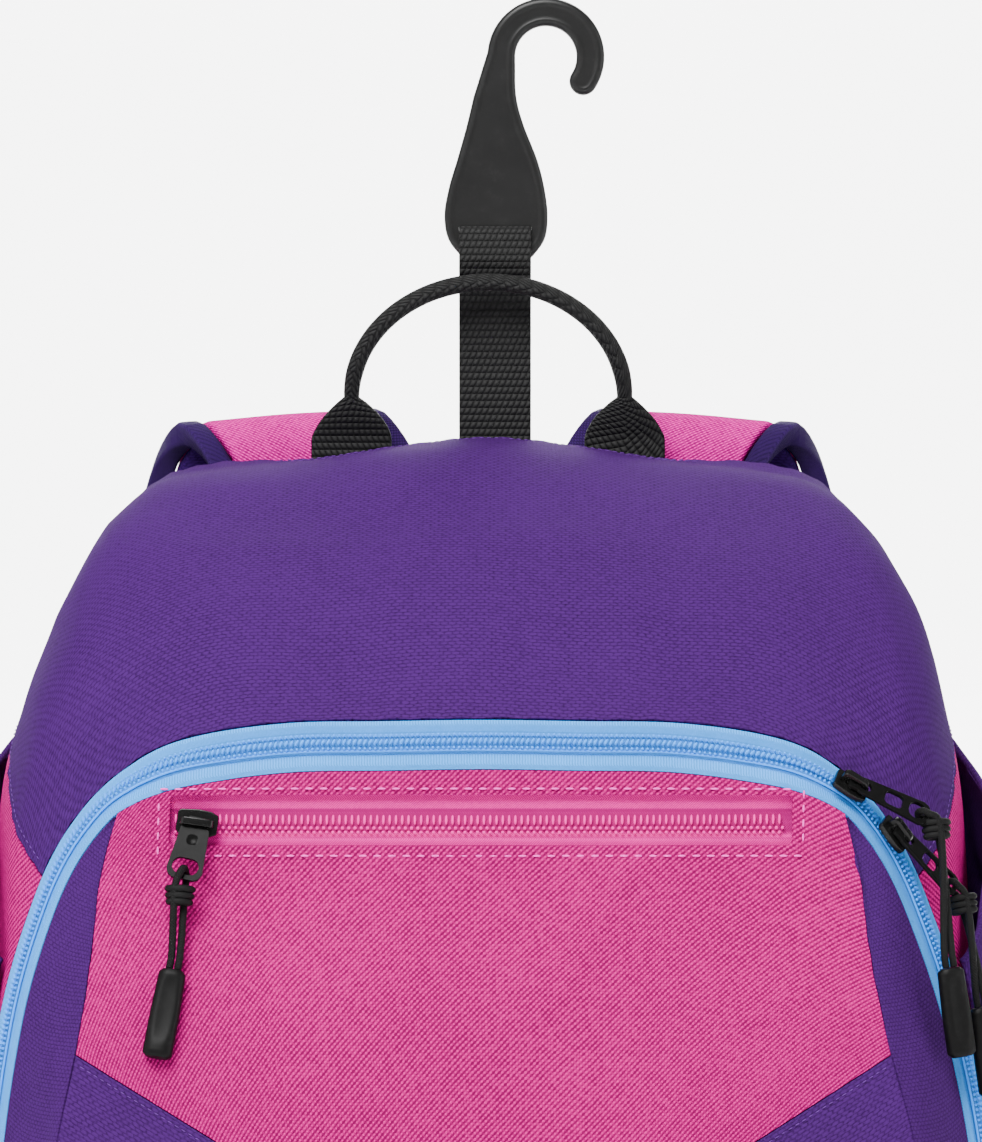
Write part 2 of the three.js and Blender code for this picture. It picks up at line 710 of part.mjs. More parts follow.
// Doubled webbing that comes out of the crest seam and loops through the hook's slot
function addHookStrap() {
  const layer = (webThickness + gap) / 2;
  const clear = hookThickness / 2 + gap + webThickness / 2;
  const slotZ = barBottom + hookBarHeight + gap + webThickness / 2;
  const foot = bagHeight - seamDepth + gap;
  const front = [
    vec(0, hookY - layer, foot),
    vec(0, hookY - layer, bagHeight + 20),
    vec(0, hookY - layer, barBottom - 14),
    vec(0, hookY - layer - 0.6, barBottom - 10),
    vec(0, hookY - clear, barBottom - 0.5),
    vec(0, hookY - clear, slotZ - 0.6),
    vec(0, hookY - clear + 1, slotZ + 0.35),
  ];
  const over = [vec(0, hookY - 2, slotZ + 0.35), vec(0, hookY + 2, slotZ + 0.35)];
  const rear = front.map((p) => vec(0, 2 * hookY - p.y, p.z)).reverse();
  addMesh("hook_strap", strip([...front, ...over, ...rear], hookX, webWidth, webThickness), "webbing");
}

// The carry handle: webbing folded into a tube, with flat feet in the crest seam
function addHandle() {
  const steps = 18;
  const reach = handleSpan / 2;
  const neckZ = bagHeight + 14;
  const rise = handleRise - 14;
  const centres = [];
  const add = (x, z, width, depth) => centres.push({ x, z, width, depth });
  const footDepth = 2 * webThickness;
  add(-reach, bagHeight - seamDepth + gap, handleFootWidth, footDepth);
  add(-reach, bagHeight - 1, handleFootWidth, footDepth);
  for (let i = 0; i <= steps; i++) {
    const angle = Math.PI * (1 - i / steps);
    const nearFoot = Math.min(i, steps - i);
    const pinch = nearFoot === 0 ? 0.85 : 1;
    add(reach * Math.cos(angle), neckZ + rise * Math.sin(angle), handleThickness * pinch, handleDepth * pinch);
  }
  add(reach, bagHeight - 1, handleFootWidth, footDepth);
  add(reach, bagHeight - seamDepth + gap, handleFootWidth, footDepth);
  const sides = 8;
  const loops = centres.map((c, i) => {
    const before = centres[Math.max(i - 1, 0)];
    const after = centres[Math.min(i + 1, centres.length - 1)];
    const along = vec(after.x - before.x, 0, after.z - before.z).normalize();
    const across = vec(along.z, 0, -along.x);
    const rise01 = clamp((c.z - bagHeight) / handleRise, 0, 1);
    const middle = vec(c.x, seamMiddleY - handleLean * Math.sin((rise01 * Math.PI) / 2), c.z);
    const flat = i < 2 || i > centres.length - 3;
    const loop = [];
    for (let k = 0; k < sides; k++) {
      const angle = (2 * Math.PI * (k + 0.5)) / sides;
      const square = flat ? 1 / Math.cos(Math.PI / sides) : 1;
      loop.push(
        middle
          .clone()
          .addScaledVector(across, (Math.cos(angle) * c.width * square) / 2)
          .add(vec(0, (Math.sin(angle) * c.depth * square) / 2, 0)),
      );
    }
    return loop;
  });
  addMesh("carry_handle", loft(loops), "webbing");
}

// The right shoulder strap's middle line: percent of half the width, millimetres behind the back panel
// and percent of the height, from its seam at the top over its arch and down to the end of its pad
const strapRows = [
  { x: 33, out: 4.9, z: 93.5 },
  { x: 35.3, out: 5, z: 97.4 },
  { x: 38.8, out: 7.6, z: 99.5 },
  { x: 43, out: 14.5, z: 100.6 },
  { x: 47, out: 22.3, z: 99.3 },
  { x: 50.5, out: 26, z: 95.8 },
  { x: 54, out: 26.4, z: 88.5 },
  { x: 57, out: 24, z: 79 },
  { x: 59.5, out: 20.5, z: 68 },
  { x: 61.5, out: 18, z: 57.5 },
  { x: 63, out: 16.5, z: 48 },
];
const backFaceY = backSeamY + gap + backPadThickness;

const strapLine = new THREE.CatmullRomCurve3(
  strapRows.map((row) => vec(widthAt(row.x), backFaceY + row.out, heightAt(row.z))),
  false,
  "centripetal",
);

function strapFrame(a) {
  const across = vec(1, 0, 0).applyAxisAngle(vec(0, 1, 0), degToRad(strapTilt));
  const normal = across.clone().cross(strapLine.getTangentAt(a)).normalize();
  return { centre: strapLine.getPointAt(a), across, normal };
}

function strapPoint(a, b, h) {
  const frame = strapFrame(a);
  return frame.centre.addScaledVector(frame.across, b).addScaledVector(frame.normal, h);
}

const mirroredLoops = (loops) => loops.map((loop) => loop.map((p) => vec(-p.x, p.y, p.z)));

function addPair(name, loops, finish) {
  addMesh(`${name}_right`, loft(loops), finish);
  addMesh(`${name}_left`, loft(mirroredLoops(loops)), finish);
}

// The pads and the binding that runs round three of their edges
function addShoulderStraps() {
  const steps = 22;
  const length = strapLine.getLength();
  const padHalf = strapWidth / 2 - bindingWidth;
  const padEnd = 1 - bindingWidth / length;
  const padLoops = [];
  for (let i = 0; i <= steps; i++) {
    const a = (padEnd * i) / steps;
    const h = strapPad / 2;
    const w = padHalf - gap;
    padLoops.push([strapPoint(a, -w, h), strapPoint(a, w, h), strapPoint(a, w, -h), strapPoint(a, -w, -h)]);
  }
  addPair("shoulder_strap", padLoops, "strapPink");
  const bindingLoops = [];
  const bind = (inA, inB, outA, outB) => {
    const h = strapPad / 2 + bindingProud;
    const inside = [strapPoint(inA, inB, -h), strapPoint(inA, inB, h)];
    const outside = [strapPoint(outA, outB, h), strapPoint(outA, outB, -h)];
    bindingLoops.push([...inside, ...outside]);
  };
  const outer = strapWidth / 2;
  const inEnd = padEnd + gap / length;
  for (let i = 0; i < steps; i++) bind((padEnd * i) / steps, -padHalf, i / steps, -outer);
  bind(inEnd, -padHalf, 1, -outer);
  bind(inEnd, padHalf, 1, outer);
  for (let i = steps - 1; i >= 0; i--) bind((padEnd * i) / steps, padHalf, i / steps, outer);
  addPair("strap_binding", bindingLoops, "purple");
}

// The plain adjuster at each pad's end, and the webbing from it to the bag's lower corner
function addStrapEnds() {
  const end = strapLine.getPointAt(1);
  const middle = vec(end.x, end.y, end.z - adjusterHeight / 2 - 4);
  for (const [name, side] of [["right", 1], ["left", -1]]) {
    const adjuster = uprightPlate(roundedShape(strapWebWidth + 8, adjusterHeight, 3), adjusterThickness);
    addMesh(`strap_adjuster_${name}`, adjuster, "blackPlastic").position.set(side * middle.x, middle.y, middle.z);
  }
  const top = middle.clone().add(vec(0, 0, -adjusterHeight / 2 - 2 * gap));
  const foot = vec(widthAt(80), backFaceY + gap + webThickness / 2, heightAt(9));
  const onTheWay = (across, rearward, down) =>
    vec(mix(top.x, foot.x, across), mix(top.y, foot.y, rearward), mix(top.z, foot.z, down));
  const line = new THREE.CatmullRomCurve3(
    [top, onTheWay(0, 0, 0.05), onTheWay(0.2, 0.25, 0.25), onTheWay(0.6, 0.75, 0.62), onTheWay(0.92, 1, 0.9), foot],
    false,
    "centripetal",
  );
  const steps = 12;
  const loops = [];
  for (let i = 0; i <= steps; i++) {
    const along = i === 0 ? vec(0, 0, -1) : line.getTangentAt(i / steps);
    const across = vec(1, 0, 0).addScaledVector(along, -along.x).normalize();
    const normal = across.clone().cross(along).normalize();
    const corners = [[-1, 1], [1, 1], [1, -1], [-1, -1]];
    loops.push(
      corners.map(([b, h]) =>
        line
          .getPointAt(i / steps)
          .addScaledVector(across, (b * strapWebWidth) / 2)
          .addScaledVector(normal, (h * webThickness) / 2),
      ),
    );
  }
  addPair("strap_webbing", loops, "webbing");
}

// A curve whose even steps follow its points, so they lie closest together in its tight bends
class KnotSpacedCurve extends THREE.CatmullRomCurve3 {
  getPointAt(share, target) {
    return this.getPoint(share, target);
  }

  getTangentAt(share, target) {
    return this.getTangent(share, target);
  }
}

function cordGeometry(path) {
  const sides = 8;
  const corners = [];
  for (let k = 0; k < sides; k++) {
    const angle = (2 * Math.PI * k) / sides;
    corners.push(new THREE.Vector2(Math.cos(angle), Math.sin(angle)).multiplyScalar(cordDiameter / 2));
  }
  const steps = 2 * (path.points.length - 1);
  return new THREE.ExtrudeGeometry(new THREE.Shape(corners), { steps, extrudePath: path });
}

// A group whose X axis runs across, whose Z axis runs up, and whose -Y axis faces out
function framed(origin, facing, up) {
  const z = up.clone().addScaledVector(facing, -up.dot(facing)).normalize();
  const y = facing.clone().negate();
  const x = y.clone().cross(z);
  const group = new THREE.Group();
  group.applyMatrix4(new THREE.Matrix4().makeBasis(x, y, z).setPosition(origin));
  bag.add(group);
  return group;
}

// A zip slider with its bridge, its pull tab, the cord looped through the tab and the grip on the cord
// spec.slideAngle turns the slider, spec.tabAngle the tab and spec.tabTilt lifts its end off the bag;
// spec.grip is where the grip's top lies
function addZipPull(name, group, spec) {
  const lift = spec.lift;
  const bodyShape = roundedShape(spec.sliderLength, sliderWidth, 2.5);
  const body = uprightPlate(bodyShape, sliderPlate);
  body.translate(0, -lift - sliderPlate / 2, 0);
  const tabY = -lift - sliderPlate - 2 * gap - tabThickness / 2;
  const bridgeY = tabY - tabThickness / 2 - 2 * gap;
  const span = spec.sliderLength - 2.5;
  const bridge = new THREE.BoxGeometry(span, bridgeThickness, bridgeWidth);
  bridge.translate(0, bridgeY - bridgeThickness / 2, 0);
  const legHeight = lift + sliderPlate / 2 + bridgeY;
  let slider = joined(body, bridge);
  for (const end of [-1, 1]) {
    const leg = new THREE.BoxGeometry(bridgeThickness, Math.abs(legHeight) + bridgeThickness, bridgeWidth);
    leg.translate((end * (span - bridgeThickness)) / 2, bridgeY - bridgeThickness + (Math.abs(legHeight) + bridgeThickness) / 2, 0);
    slider = joined(slider, leg);
  }
  const sliderMesh = addMesh(`${name}_slider`, slider, "blackMetal", group);
  sliderMesh.rotation.y = spec.slideAngle;

  const eyeTop = bridgeWidth / 2 + 0.4;
  const tabShape = new THREE.Shape();
  const neck = tabWidth * 0.28;
  tabShape.moveTo(-neck, eyeTop);
  tabShape.lineTo(neck, eyeTop);
  tabShape.lineTo(neck, -5.5);
  tabShape.lineTo(tabWidth / 2, -8);
  tabShape.lineTo(tabWidth / 2, -spec.tabLength + 1.5);
  tabShape.lineTo(tabWidth / 2 - 1.5, -spec.tabLength);
  tabShape.lineTo(-tabWidth / 2 + 1.5, -spec.tabLength);
  tabShape.lineTo(-tabWidth / 2, -spec.tabLength + 1.5);
  tabShape.lineTo(-tabWidth / 2, -8);
  tabShape.lineTo(-neck, -5.5);
  const holeBetween = (width, top, bottom) => {
    const hole = new THREE.Path();
    hole.moveTo(-width / 2, top);
    hole.lineTo(-width / 2, bottom);
    hole.lineTo(width / 2, bottom);
    hole.lineTo(width / 2, top);
    return hole;
  };
  const barTop = -spec.tabLength + tabBar;
  tabShape.holes.push(holeBetween(tabWidth - 3.4, barTop + 5.2, barTop));
  tabShape.holes.push(holeBetween(bridgeWidth + 1.6, -1.2, -6.6));
  const tab = uprightPlate(tabShape, tabThickness);
  const tabMesh = addMesh(`${name}_tab`, tab, "blackMetal", group);
  tabMesh.position.y = tabY;
  tabMesh.rotation.set(-spec.tabTilt, spec.tabAngle, 0);

  group.updateMatrixWorld(true);
  tabMesh.updateMatrixWorld(true);
  const aroundBar = cordDiameter / 2 + tabThickness / 2 + 2 * gap;
  const middleBar = barTop - tabBar / 2;
  const nearBar = [
    vec(-1.5, -aroundBar, middleBar - 3.2),
    vec(-1.1, -aroundBar, middleBar - 0.2),
    vec(-0.6, -aroundBar * 0.8, middleBar + 2),
    vec(0, 0, middleBar + 2.9),
    vec(0.6, aroundBar * 0.8, middleBar + 2),
    vec(1.1, aroundBar, middleBar - 0.2),
    vec(1.5, aroundBar * 0.9, middleBar - 3.2),
  ].map((p) => p.applyMatrix4(tabMesh.matrixWorld));
  const cordPitch = cordDiameter + gap;
  const hang = spec.gripDirection.clone().normalize();
  const sideways = hang.clone().cross(spec.gripFacing).normalize();
  if (sideways.x < 0) sideways.negate();
  const ends = [-1, 1].map((sign) => spec.grip.clone().addScaledVector(sideways, (sign * cordPitch) / 2));
  const approach = ends.map((p) => p.clone().addScaledVector(hang, -4));
  const path = new KnotSpacedCurve(
    [ends[0], approach[0], ...nearBar, approach[1], ends[1]],
    false,
    "centripetal",
  );
  addMesh(`${name}_cord`, cordGeometry(path), "webbing");

  const gripShape = roundedShape(gripWidth, gripLength, 2.6);
  const grip = uprightPlate(gripShape, gripThickness, 1.2, 2);
  const gripMesh = addMesh(`${name}_grip`, grip, "rubber");
  const facing = spec.gripFacing.clone().addScaledVector(hang, -spec.gripFacing.dot(hang)).normalize();
  const up = hang.clone().negate();
  const inY = facing.clone().negate();
  gripMesh.applyMatrix4(
    new THREE.Matrix4()
      .makeBasis(inY.clone().cross(up), inY, up)
      .setPosition(spec.grip.clone().addScaledVector(hang, gap + gripLength / 2)),
  );
}

function addPocketPull() {
  const share = -(pocketLength / 2 - sliderFromEnd) / pinkFaceAtHeight(1, pocketZ).x;
  const spot = pinkFaceAtHeight(share, pocketZ);
  spot.x += leanAt(spot.z);
  const above = pinkFaceAtHeight(share, pocketZ + 6);
  const below = pinkFaceAtHeight(share, pocketZ - 6);
  const up = above.sub(below).normalize();
  const facing = vec(0, -up.z, up.y).normalize();
  const group = framed(spot, facing, up);
  const restAt = (sideways, drop) => {
    const point = pinkFaceAtHeight(share - sideways / corner.x, pocketZ - drop);
    point.x += leanAt(point.z);
    return point.addScaledVector(facing, gripThickness / 2 + 6 * gap);
  };
  const grip = restAt(3, 46);
  const hang = restAt(6, 46 + gripLength).sub(grip).normalize();
  const gripFacing = vec(0, hang.z, -hang.y).normalize();
  addZipPull("pocket_pull", group, {
    sliderLength: 13.5,
    lift: 0.6,
    tabLength: 20,
    slideAngle: 0,
    tabAngle: degToRad(5),
    tabTilt: degToRad(15),
    grip,
    gripDirection: hang,
    gripFacing,
  });
}

// The flap's two pulls: place along the zip, turn of the tab in degrees, and the top of the grip in percent
// of half the width, of the body's depth and of the height
const flapPulls = [
  { name: "flap_pull_upper", s: 0.687, turn: -3, grip: [87.94, 120, 64.22] },
  { name: "flap_pull_lower", s: 0.745, turn: -5, grip: [94.41, 112.8, 61.22] },
];

function addFlapPull(name, s, tabTurn, [across, deep, high]) {
  const frame = zipFrame(s);
  const spot = frame.centre.clone();
  spot.x += leanAt(spot.z);
  const group = framed(spot, frame.facing, frame.along.clone().negate());
  addZipPull(name, group, {
    sliderLength: 12,
    lift: coilHeight + 4 * gap,
    tabLength: 27,
    slideAngle: Math.PI / 2,
    tabAngle: degToRad(tabTurn),
    tabTilt: degToRad(6),
    grip: vec(widthAt(across), depthAt(deep), heightAt(high)),
    gripDirection: vec(0.14, 0, -0.99),
    gripFacing: vec(0.35, -0.94, 0),
  });
}

addTopPanel();
addSidePanels();
addBatSleeves();
addFlapZip();
addFlapPanels();
addFlapGussets();
addPocketZip();
addBase();
addBackPanel();
addHook();
addHookStrap();
addHandle();
addShoulderStraps();
addStrapEnds();
addPocketPull();
for (const { name, s, turn, grip } of flapPulls) addFlapPull(name, s, turn, grip);

export default bag;
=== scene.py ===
"""The looks of a baseball bat backpack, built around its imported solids."""

import functools
import math

import bpy
import numpy as np
from bpy.props import FloatProperty, FloatVectorProperty, PointerProperty
from mathutils import Matrix, Vector, noise


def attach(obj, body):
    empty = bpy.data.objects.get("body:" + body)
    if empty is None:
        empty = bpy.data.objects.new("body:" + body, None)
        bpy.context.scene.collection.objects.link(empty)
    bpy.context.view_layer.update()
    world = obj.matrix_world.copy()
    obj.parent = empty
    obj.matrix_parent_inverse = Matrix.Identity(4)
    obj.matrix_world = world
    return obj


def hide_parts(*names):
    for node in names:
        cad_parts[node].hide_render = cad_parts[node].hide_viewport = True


bl_info = {
    "name": "Baseball bat backpack",
    "version": (1, 0, 0),
    "blender": (4, 5, 0),
    "location": "View3D > Sidebar > Bat bag",
    "description": "Builds a backpack with bat sleeves, a flap zip and a fence hook",
    "category": "Add Mesh",
}

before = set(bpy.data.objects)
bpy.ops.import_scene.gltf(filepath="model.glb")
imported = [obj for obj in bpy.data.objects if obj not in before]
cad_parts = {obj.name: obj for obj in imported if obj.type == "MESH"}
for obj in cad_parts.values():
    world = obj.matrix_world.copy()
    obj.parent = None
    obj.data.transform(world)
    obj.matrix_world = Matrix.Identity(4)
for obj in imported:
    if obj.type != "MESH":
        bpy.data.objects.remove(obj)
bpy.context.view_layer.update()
MM = 0.001

# Sizes in millimetres, as in the solids
BAG_HEIGHT = 470
HALF_WIDTH = 170
BODY_DEPTH = 125
BACK_SEAM_Y = 75
FLAP_DEPTH = 50
FLAP_BULGE = 7
SIDE_LEAN = 2.5
WALL = 1.6
BASE_TOP = 3.3
GAP = 0.3
TAPE_WIDTH = 16
POCKET_DROP = 17.5
POCKET_HALF = 101
POCKET_ABOVE = 9.2
POCKET_BELOW = 7
SLEEVE_ROOM = 11
SLEEVE_SEAT = 0.9
BACK_FACE_Y = 83.3
STRAP_WIDTH = 72
STRAP_PAD = 8
BINDING = 9
HOOK_X = 2.4
HOOK_Y = 77.25
HOOK_BASE = 532

# Body outlines from the crest down the right side at four depths, in percent of half the width and of the
# height, then the flap zip's line, its depth in percent and its turn towards the side in degrees
OUTLINE = (
    ((0, 100), (0, 98.9), (0, 95.7), (0, 90.1), (0, 79.5), 111.2, 8),
    ((19.5, 99.3), (19.5, 98.4), (19.5, 95.4), (19.5, 90), (19.5, 79.4), 111.2, 8),
    ((36, 98.4), (36, 97.8), (36, 95), (36, 89.8), (36, 79.3), 111.2, 8),
    ((55.5, 98.1), (56, 97.4), (56, 94.3), (54.5, 89.2), (50, 78.7), 111.2, 14),
    ((66.5, 97), (69, 96.3), (69.5, 93.2), (66, 87.9), (59.5, 77.9), 110.4, 30),
    ((73.5, 94.6), (76, 94), (77.7, 91.2), (74.5, 85.9), (66, 76.8), 109.2, 46),
    ((78, 91.4), (81, 90.8), (83.5, 88.2), (80.5, 83.3), (71.5, 75.4), 108, 56),
    ((82, 87.3), (84.5, 87.1), (87.6, 84.9), (84.7, 80.5), (76, 73.5), 107.2, 58),
    ((85.5, 82.4), (88, 82.4), (91, 81.1), (87.6, 77.5), (80, 71.2), 106.4, 59),
    ((88.5, 75.4), (91.5, 75.4), (95, 74.7), (91.2, 71.7), (84, 67.9), 106, 60),
    ((90.6, 63.6), (94.1, 63.6), (96.5, 63.6), (93.8, 62.6), (90.5, 60.4), 105.6, 60),
    ((91.8, 46.4), (95.6, 46.4), (97.6, 46.4), (96.6, 46.4), (96.5, 46.4), 105.6, 60),
    ((92, 25), (95.8, 25), (97.6, 25), (97, 25), (97, 25), 105.6, 60),
    ((91, 10), (94.5, 10), (96, 10), (95.5, 10), (95.5, 10), 105.6, 60),
    ((88.5, 3.2), (91.5, 3.2), (93, 3.2), (92.5, 3.2), (92, 3.2), 105.6, 60),
    ((84, 0), (86, 0), (87.5, 0), (87, 0), (86.5, 0), 105.6, 60),
)
STATION_DEPTHS = (0, 30, 58, 87)
SEAM_HEIGHTS = (84.5, 81.8, 78.3, 73, 70)
SLEEVE_HEIGHTS = (80.5, 77.5, 74, 65.8, 62.8)
SLEEVE_BOTTOM = 9
SLEEVE_REACH = (0.06, 0.93)

# The flap's side edge below its corner: percent of half the width, of the height and of the flap's depth;
# the flap's corner in percent of half the width, and about half its width beside the pocket
FLAP_EDGE = (
    (72.6, 70.2, 13),
    (73.8, 66.1, 26),
    (75, 62.9, 40),
    (77.2, 58.6, 53),
    (80.8, 52.9, 66),
    (85.3, 42.1, 82),
    (87.6, 31.4, 90),
    (88.2, 20.7, 94),
    (87.5, 10, 92),
    (85.5, 4.5, 84),
    (81, 0, 68),
)
FLAP_CORNER_X = 69.6
FLAP_HALF = 121
COLOUR_SEAM = (41.9, 58.6)

# The shoulder strap's middle line: percent of half the width, out from the back, percent of the height
STRAP_LINE = (
    (33, 4.9, 93.5),
    (35.3, 5, 97.4),
    (38.8, 7.6, 99.5),
    (43, 14.5, 100.6),
    (47, 22.3, 99.3),
    (50.5, 26, 95.8),
    (54, 26.4, 88.5),
    (57, 24, 79),
    (59.5, 20.5, 68),
    (61.5, 18, 57.5),
    (63, 16.5, 48),
)
STRAP_TILT = math.radians(4)

# Each zip pull's cord route, and the places of its slider, tab and grip as matrix columns
CORD_DIAMETER = 2.4
PULLS = {
    "pocket_pull": {
        "route": (
            (-102.48, -87.67, 303.97),
            (-101.8, -86.35, 307.69),
            (-100.51, -83.16, 331.31),
            (-99.46, -81.92, 333.86),
            (-98.5, -80.57, 335.48),
            (-97.79, -78.42, 335.29),
            (-97.48, -77.03, 333.52),
            (-97.49, -77.53, 331.27),
            (-97.76, -79.05, 328.65),
            (-99.14, -86.51, 307.26),
            (-99.82, -87.83, 303.54),
        ),
        "slider": ((0.99014, -0.0249, -0.13785), (0, 0.98407, -0.17777), (0.14008, 0.17602, 0.97437)),
        "slider_at": (-94.187, -67.527, 348.904),
        "tab": ((0.97458, -0.06182, -0.21535), (-0.03626, 0.90498, -0.4239), (0.22109, 0.42093, 0.87974)),
        "tab_at": (-94.187, -71.562, 349.633),
        "grip": ((0.98556, -0.05669, -0.15952), (0, 0.94227, -0.33484), (0.1693, 0.33001, 0.92867)),
        "grip_at": (-103.652, -92.634, 290.013),
        "sizes": {"slider_length": 13.5, "lift": 0.6, "tab_length": 20, "tab_halves": (4.7, 5.9)},
    },
    "flap_pull_upper": {
        "route": (
            (148.24, -75.47, 302.84),
            (147.68, -75.47, 306.8),
            (146.06, -65.51, 350.34),
            (143.45, -65.37, 351.86),
            (141.39, -64.8, 352.75),
            (139.97, -63.15, 352.11),
            (140.18, -61.39, 350.68),
            (142.09, -60.55, 349.68),
            (144.97, -60.22, 348.8),
            (150.19, -74.53, 307.15),
            (150.75, -74.53, 303.19),
        ),
        "slider": ((0.84404, 0.08343, -0.52975), (-0.46214, 0.61429, -0.63959), (0.27205, 0.78466, 0.55704)),
        "slider_at": (115.982, -60.55, 357.973),
        "tab": ((0.22522, 0.7826, 0.58035), (-0.37139, 0.61964, -0.69146), (-0.90075, -0.0598, 0.4302)),
        "tab_at": (118.986, -64.543, 362.13),
        "grip": ((0.92902, 0.34591, 0.13138), (-0.34251, 0.93827, -0.04844), (-0.14002, 0, 0.99015)),
        "grip_at": (151.57, -75, 288.361),
        "sizes": {"slider_length": 12, "lift": 3, "tab_length": 27, "tab_halves": (3.6, 5.25)},
    },
    "flap_pull_lower": {
        "route": (
            (159.24, -66.47, 288.84),
            (158.68, -66.47, 292.8),
            (155.26, -62.22, 325.45),
            (153.33, -62.13, 327.78),
            (151.66, -61.62, 329.29),
            (149.95, -60.13, 329.08),
            (149.49, -58.49, 327.57),
            (150.85, -57.62, 325.92),
            (153.21, -57.17, 324.06),
            (161.19, -65.53, 293.15),
            (161.75, -65.53, 289.19),
        ),
        "slider": ((0.58659, 0.0631, -0.80742), (-0.70768, 0.52473, -0.47312), (0.39382, 0.84893, 0.35245)),
        "slider_at": (129.294, -58.626, 342.779),
        "tab": ((0.33503, 0.84501, 0.41679), (-0.64249, 0.52845, -0.55493), (-0.68917, -0.08186, 0.71996)),
        "tab_at": (133.894, -62.037, 345.855),
        "grip": ((0.92902, 0.34591, 0.13138), (-0.34251, 0.93827, -0.04844), (-0.14002, 0, 0.99015)),
        "grip_at": (162.569, -66, 274.36),
        "sizes": {"slider_length": 12, "lift": 3, "tab_length": 27, "tab_halves": (3.6, 5.25)},
    },
}


def lerp(a, b, share):
    return a + (b - a) * share


def clamp(value, low=0.0, high=1.0):
    return max(low, min(high, value))


def width_at(percent):
    return HALF_WIDTH * percent / 100


def height_at(percent):
    return lerp(BASE_TOP, BAG_HEIGHT, percent / 100)


def depth_at(percent):
    return BACK_SEAM_Y - BODY_DEPTH * percent / 100


def lean_at(z):
    """How far the sagging body moves sideways at a height."""
    fall = (z / BAG_HEIGHT - 0.7) / 0.15
    return -SIDE_LEAN * np.exp(-fall * fall)


# Curves and surfaces


class Spline:
    """A centripetal Catmull-Rom curve through points."""

    def __init__(self, points):
        self.points = np.array(points, dtype=float)
        p = self.points
        before = np.vstack([2 * p[0] - p[1], p[:-1]])
        after = np.vstack([p[1:], 2 * p[-1] - p[-2]])
        self.pieces = [
            self._piece(before[i], p[i], p[i + 1], after[i + 1]) for i in range(len(p) - 1)
        ]
        self.table = None

    @staticmethod
    def _piece(p0, p1, p2, p3):
        steps = [max(np.dot(b - a, b - a) ** 0.25, 1e-4) for a, b in ((p0, p1), (p1, p2), (p2, p3))]
        d0, d1, d2 = steps
        start = ((p1 - p0) / d0 - (p2 - p0) / (d0 + d1) + (p2 - p1) / d1) * d1
        end = ((p2 - p1) / d1 - (p3 - p1) / (d1 + d2) + (p3 - p2) / d2) * d1
        return p1, start, -3 * p1 + 3 * p2 - 2 * start - end, 2 * p1 - 2 * p2 + start + end

    def at(self, t):
        place = clamp(t) * len(self.pieces)
        i = min(int(place), len(self.pieces) - 1)
        a, b, c, d = self.pieces[i]
        s = place - i
        return a + s * (b + s * (c + s * d))

    def tangent(self, t):
        along = self.at(t + 1e-4) - self.at(t - 1e-4)
        return along / np.linalg.norm(along)

    def _measured(self):
        if self.table is None:
            shares = np.linspace(0, 1, 241)
            line = np.array([self.at(t) for t in shares])
            steps = np.linalg.norm(np.diff(line, axis=0), axis=1)
            self.table = (shares, np.concatenate([[0], np.cumsum(steps)]))
        return self.table

    def length(self):
        return self._measured()[1][-1]

    def share_of_length(self, share):
        shares, lengths = self._measured()
        return float(np.interp(share * lengths[-1], lengths, shares))

    def at_length(self, share):
        return self.at(self.share_of_length(share))


def mirrored_spline(points):
    left = [(-p[0], p[1], p[2]) for p in reversed(points[1:])]
    return Spline(left + [tuple(p) for p in points])


LAST_ROW = len(OUTLINE) - 1
ZIP_LINE = mirrored_spline([(width_at(r[4][0]), depth_at(r[5]), height_at(r[4][1])) for r in OUTLINE])


def zip_frame(s):
    """The flap zip's centre, and its directions along, across and out of the tape."""
    place = abs(s - 0.5) * 2 * LAST_ROW
    row = min(int(place), LAST_ROW - 1)
    turn = math.radians(lerp(OUTLINE[row][6], OUTLINE[row + 1][6], place - row))
    along = ZIP_LINE.tangent(s)
    outward = np.array((-along[2], 0, along[0]))
    outward /= np.linalg.norm(outward)
    rearward = np.array((0, 1, 0))
    across = outward * math.cos(turn) + rearward * math.sin(turn)
    facing = outward * math.sin(turn) - rearward * math.cos(turn)
    return ZIP_LINE.at(s), along, across, facing


def tape_point(s, offset):
    centre, _, across, _ = zip_frame(s)
    point = centre + across * offset
    point[2] = max(point[2], BASE_TOP)
    return point


def rail(i):
    row = OUTLINE[i]
    points = [
        (width_at(row[k][0]), depth_at(depth), height_at(row[k][1]))
        for k, depth in enumerate(STATION_DEPTHS)
    ]
    return Spline(points + [tuple(tape_point(0.5 + i / (2 * LAST_ROW), TAPE_WIDTH / 2 + 2.5 * GAP))])


RAILS = [rail(i) for i in range(len(OUTLINE))]


@functools.lru_cache(maxsize=None)
def ring_at(t):
    """The body's outline at a share of the way from the back seam to the zip."""
    return mirrored_spline([r.at(t) for r in RAILS])


@functools.lru_cache(maxsize=None)
def ring_place(t, height):
    """The share of a ring's length where its right side comes down to a height."""
    ring = ring_at(t)
    low, high = 0.5, 1.0
    for _ in range(24):
        middle = (low + high) / 2
        if ring.at_length(middle)[2] > height:
            low = middle
        else:
            high = middle
    return low


def height_along(percents, t):
    place = t * (len(percents) - 1)
    i = min(int(place), len(percents) - 2)
    return height_at(lerp(percents[i], percents[i + 1], place - i))


def top_point(t, w):
    ring = ring_at(t)
    end = ring_place(t, height_along(SEAM_HEIGHTS, t)) - GAP / ring.length()
    return ring.at_length(lerp(1 - end, end, w))


def side_point(t, w):
    ring = ring_at(t)
    start = ring_place(t, height_along(SEAM_HEIGHTS, t)) + GAP / ring.length()
    return ring.at_length(lerp(start, 1, w))


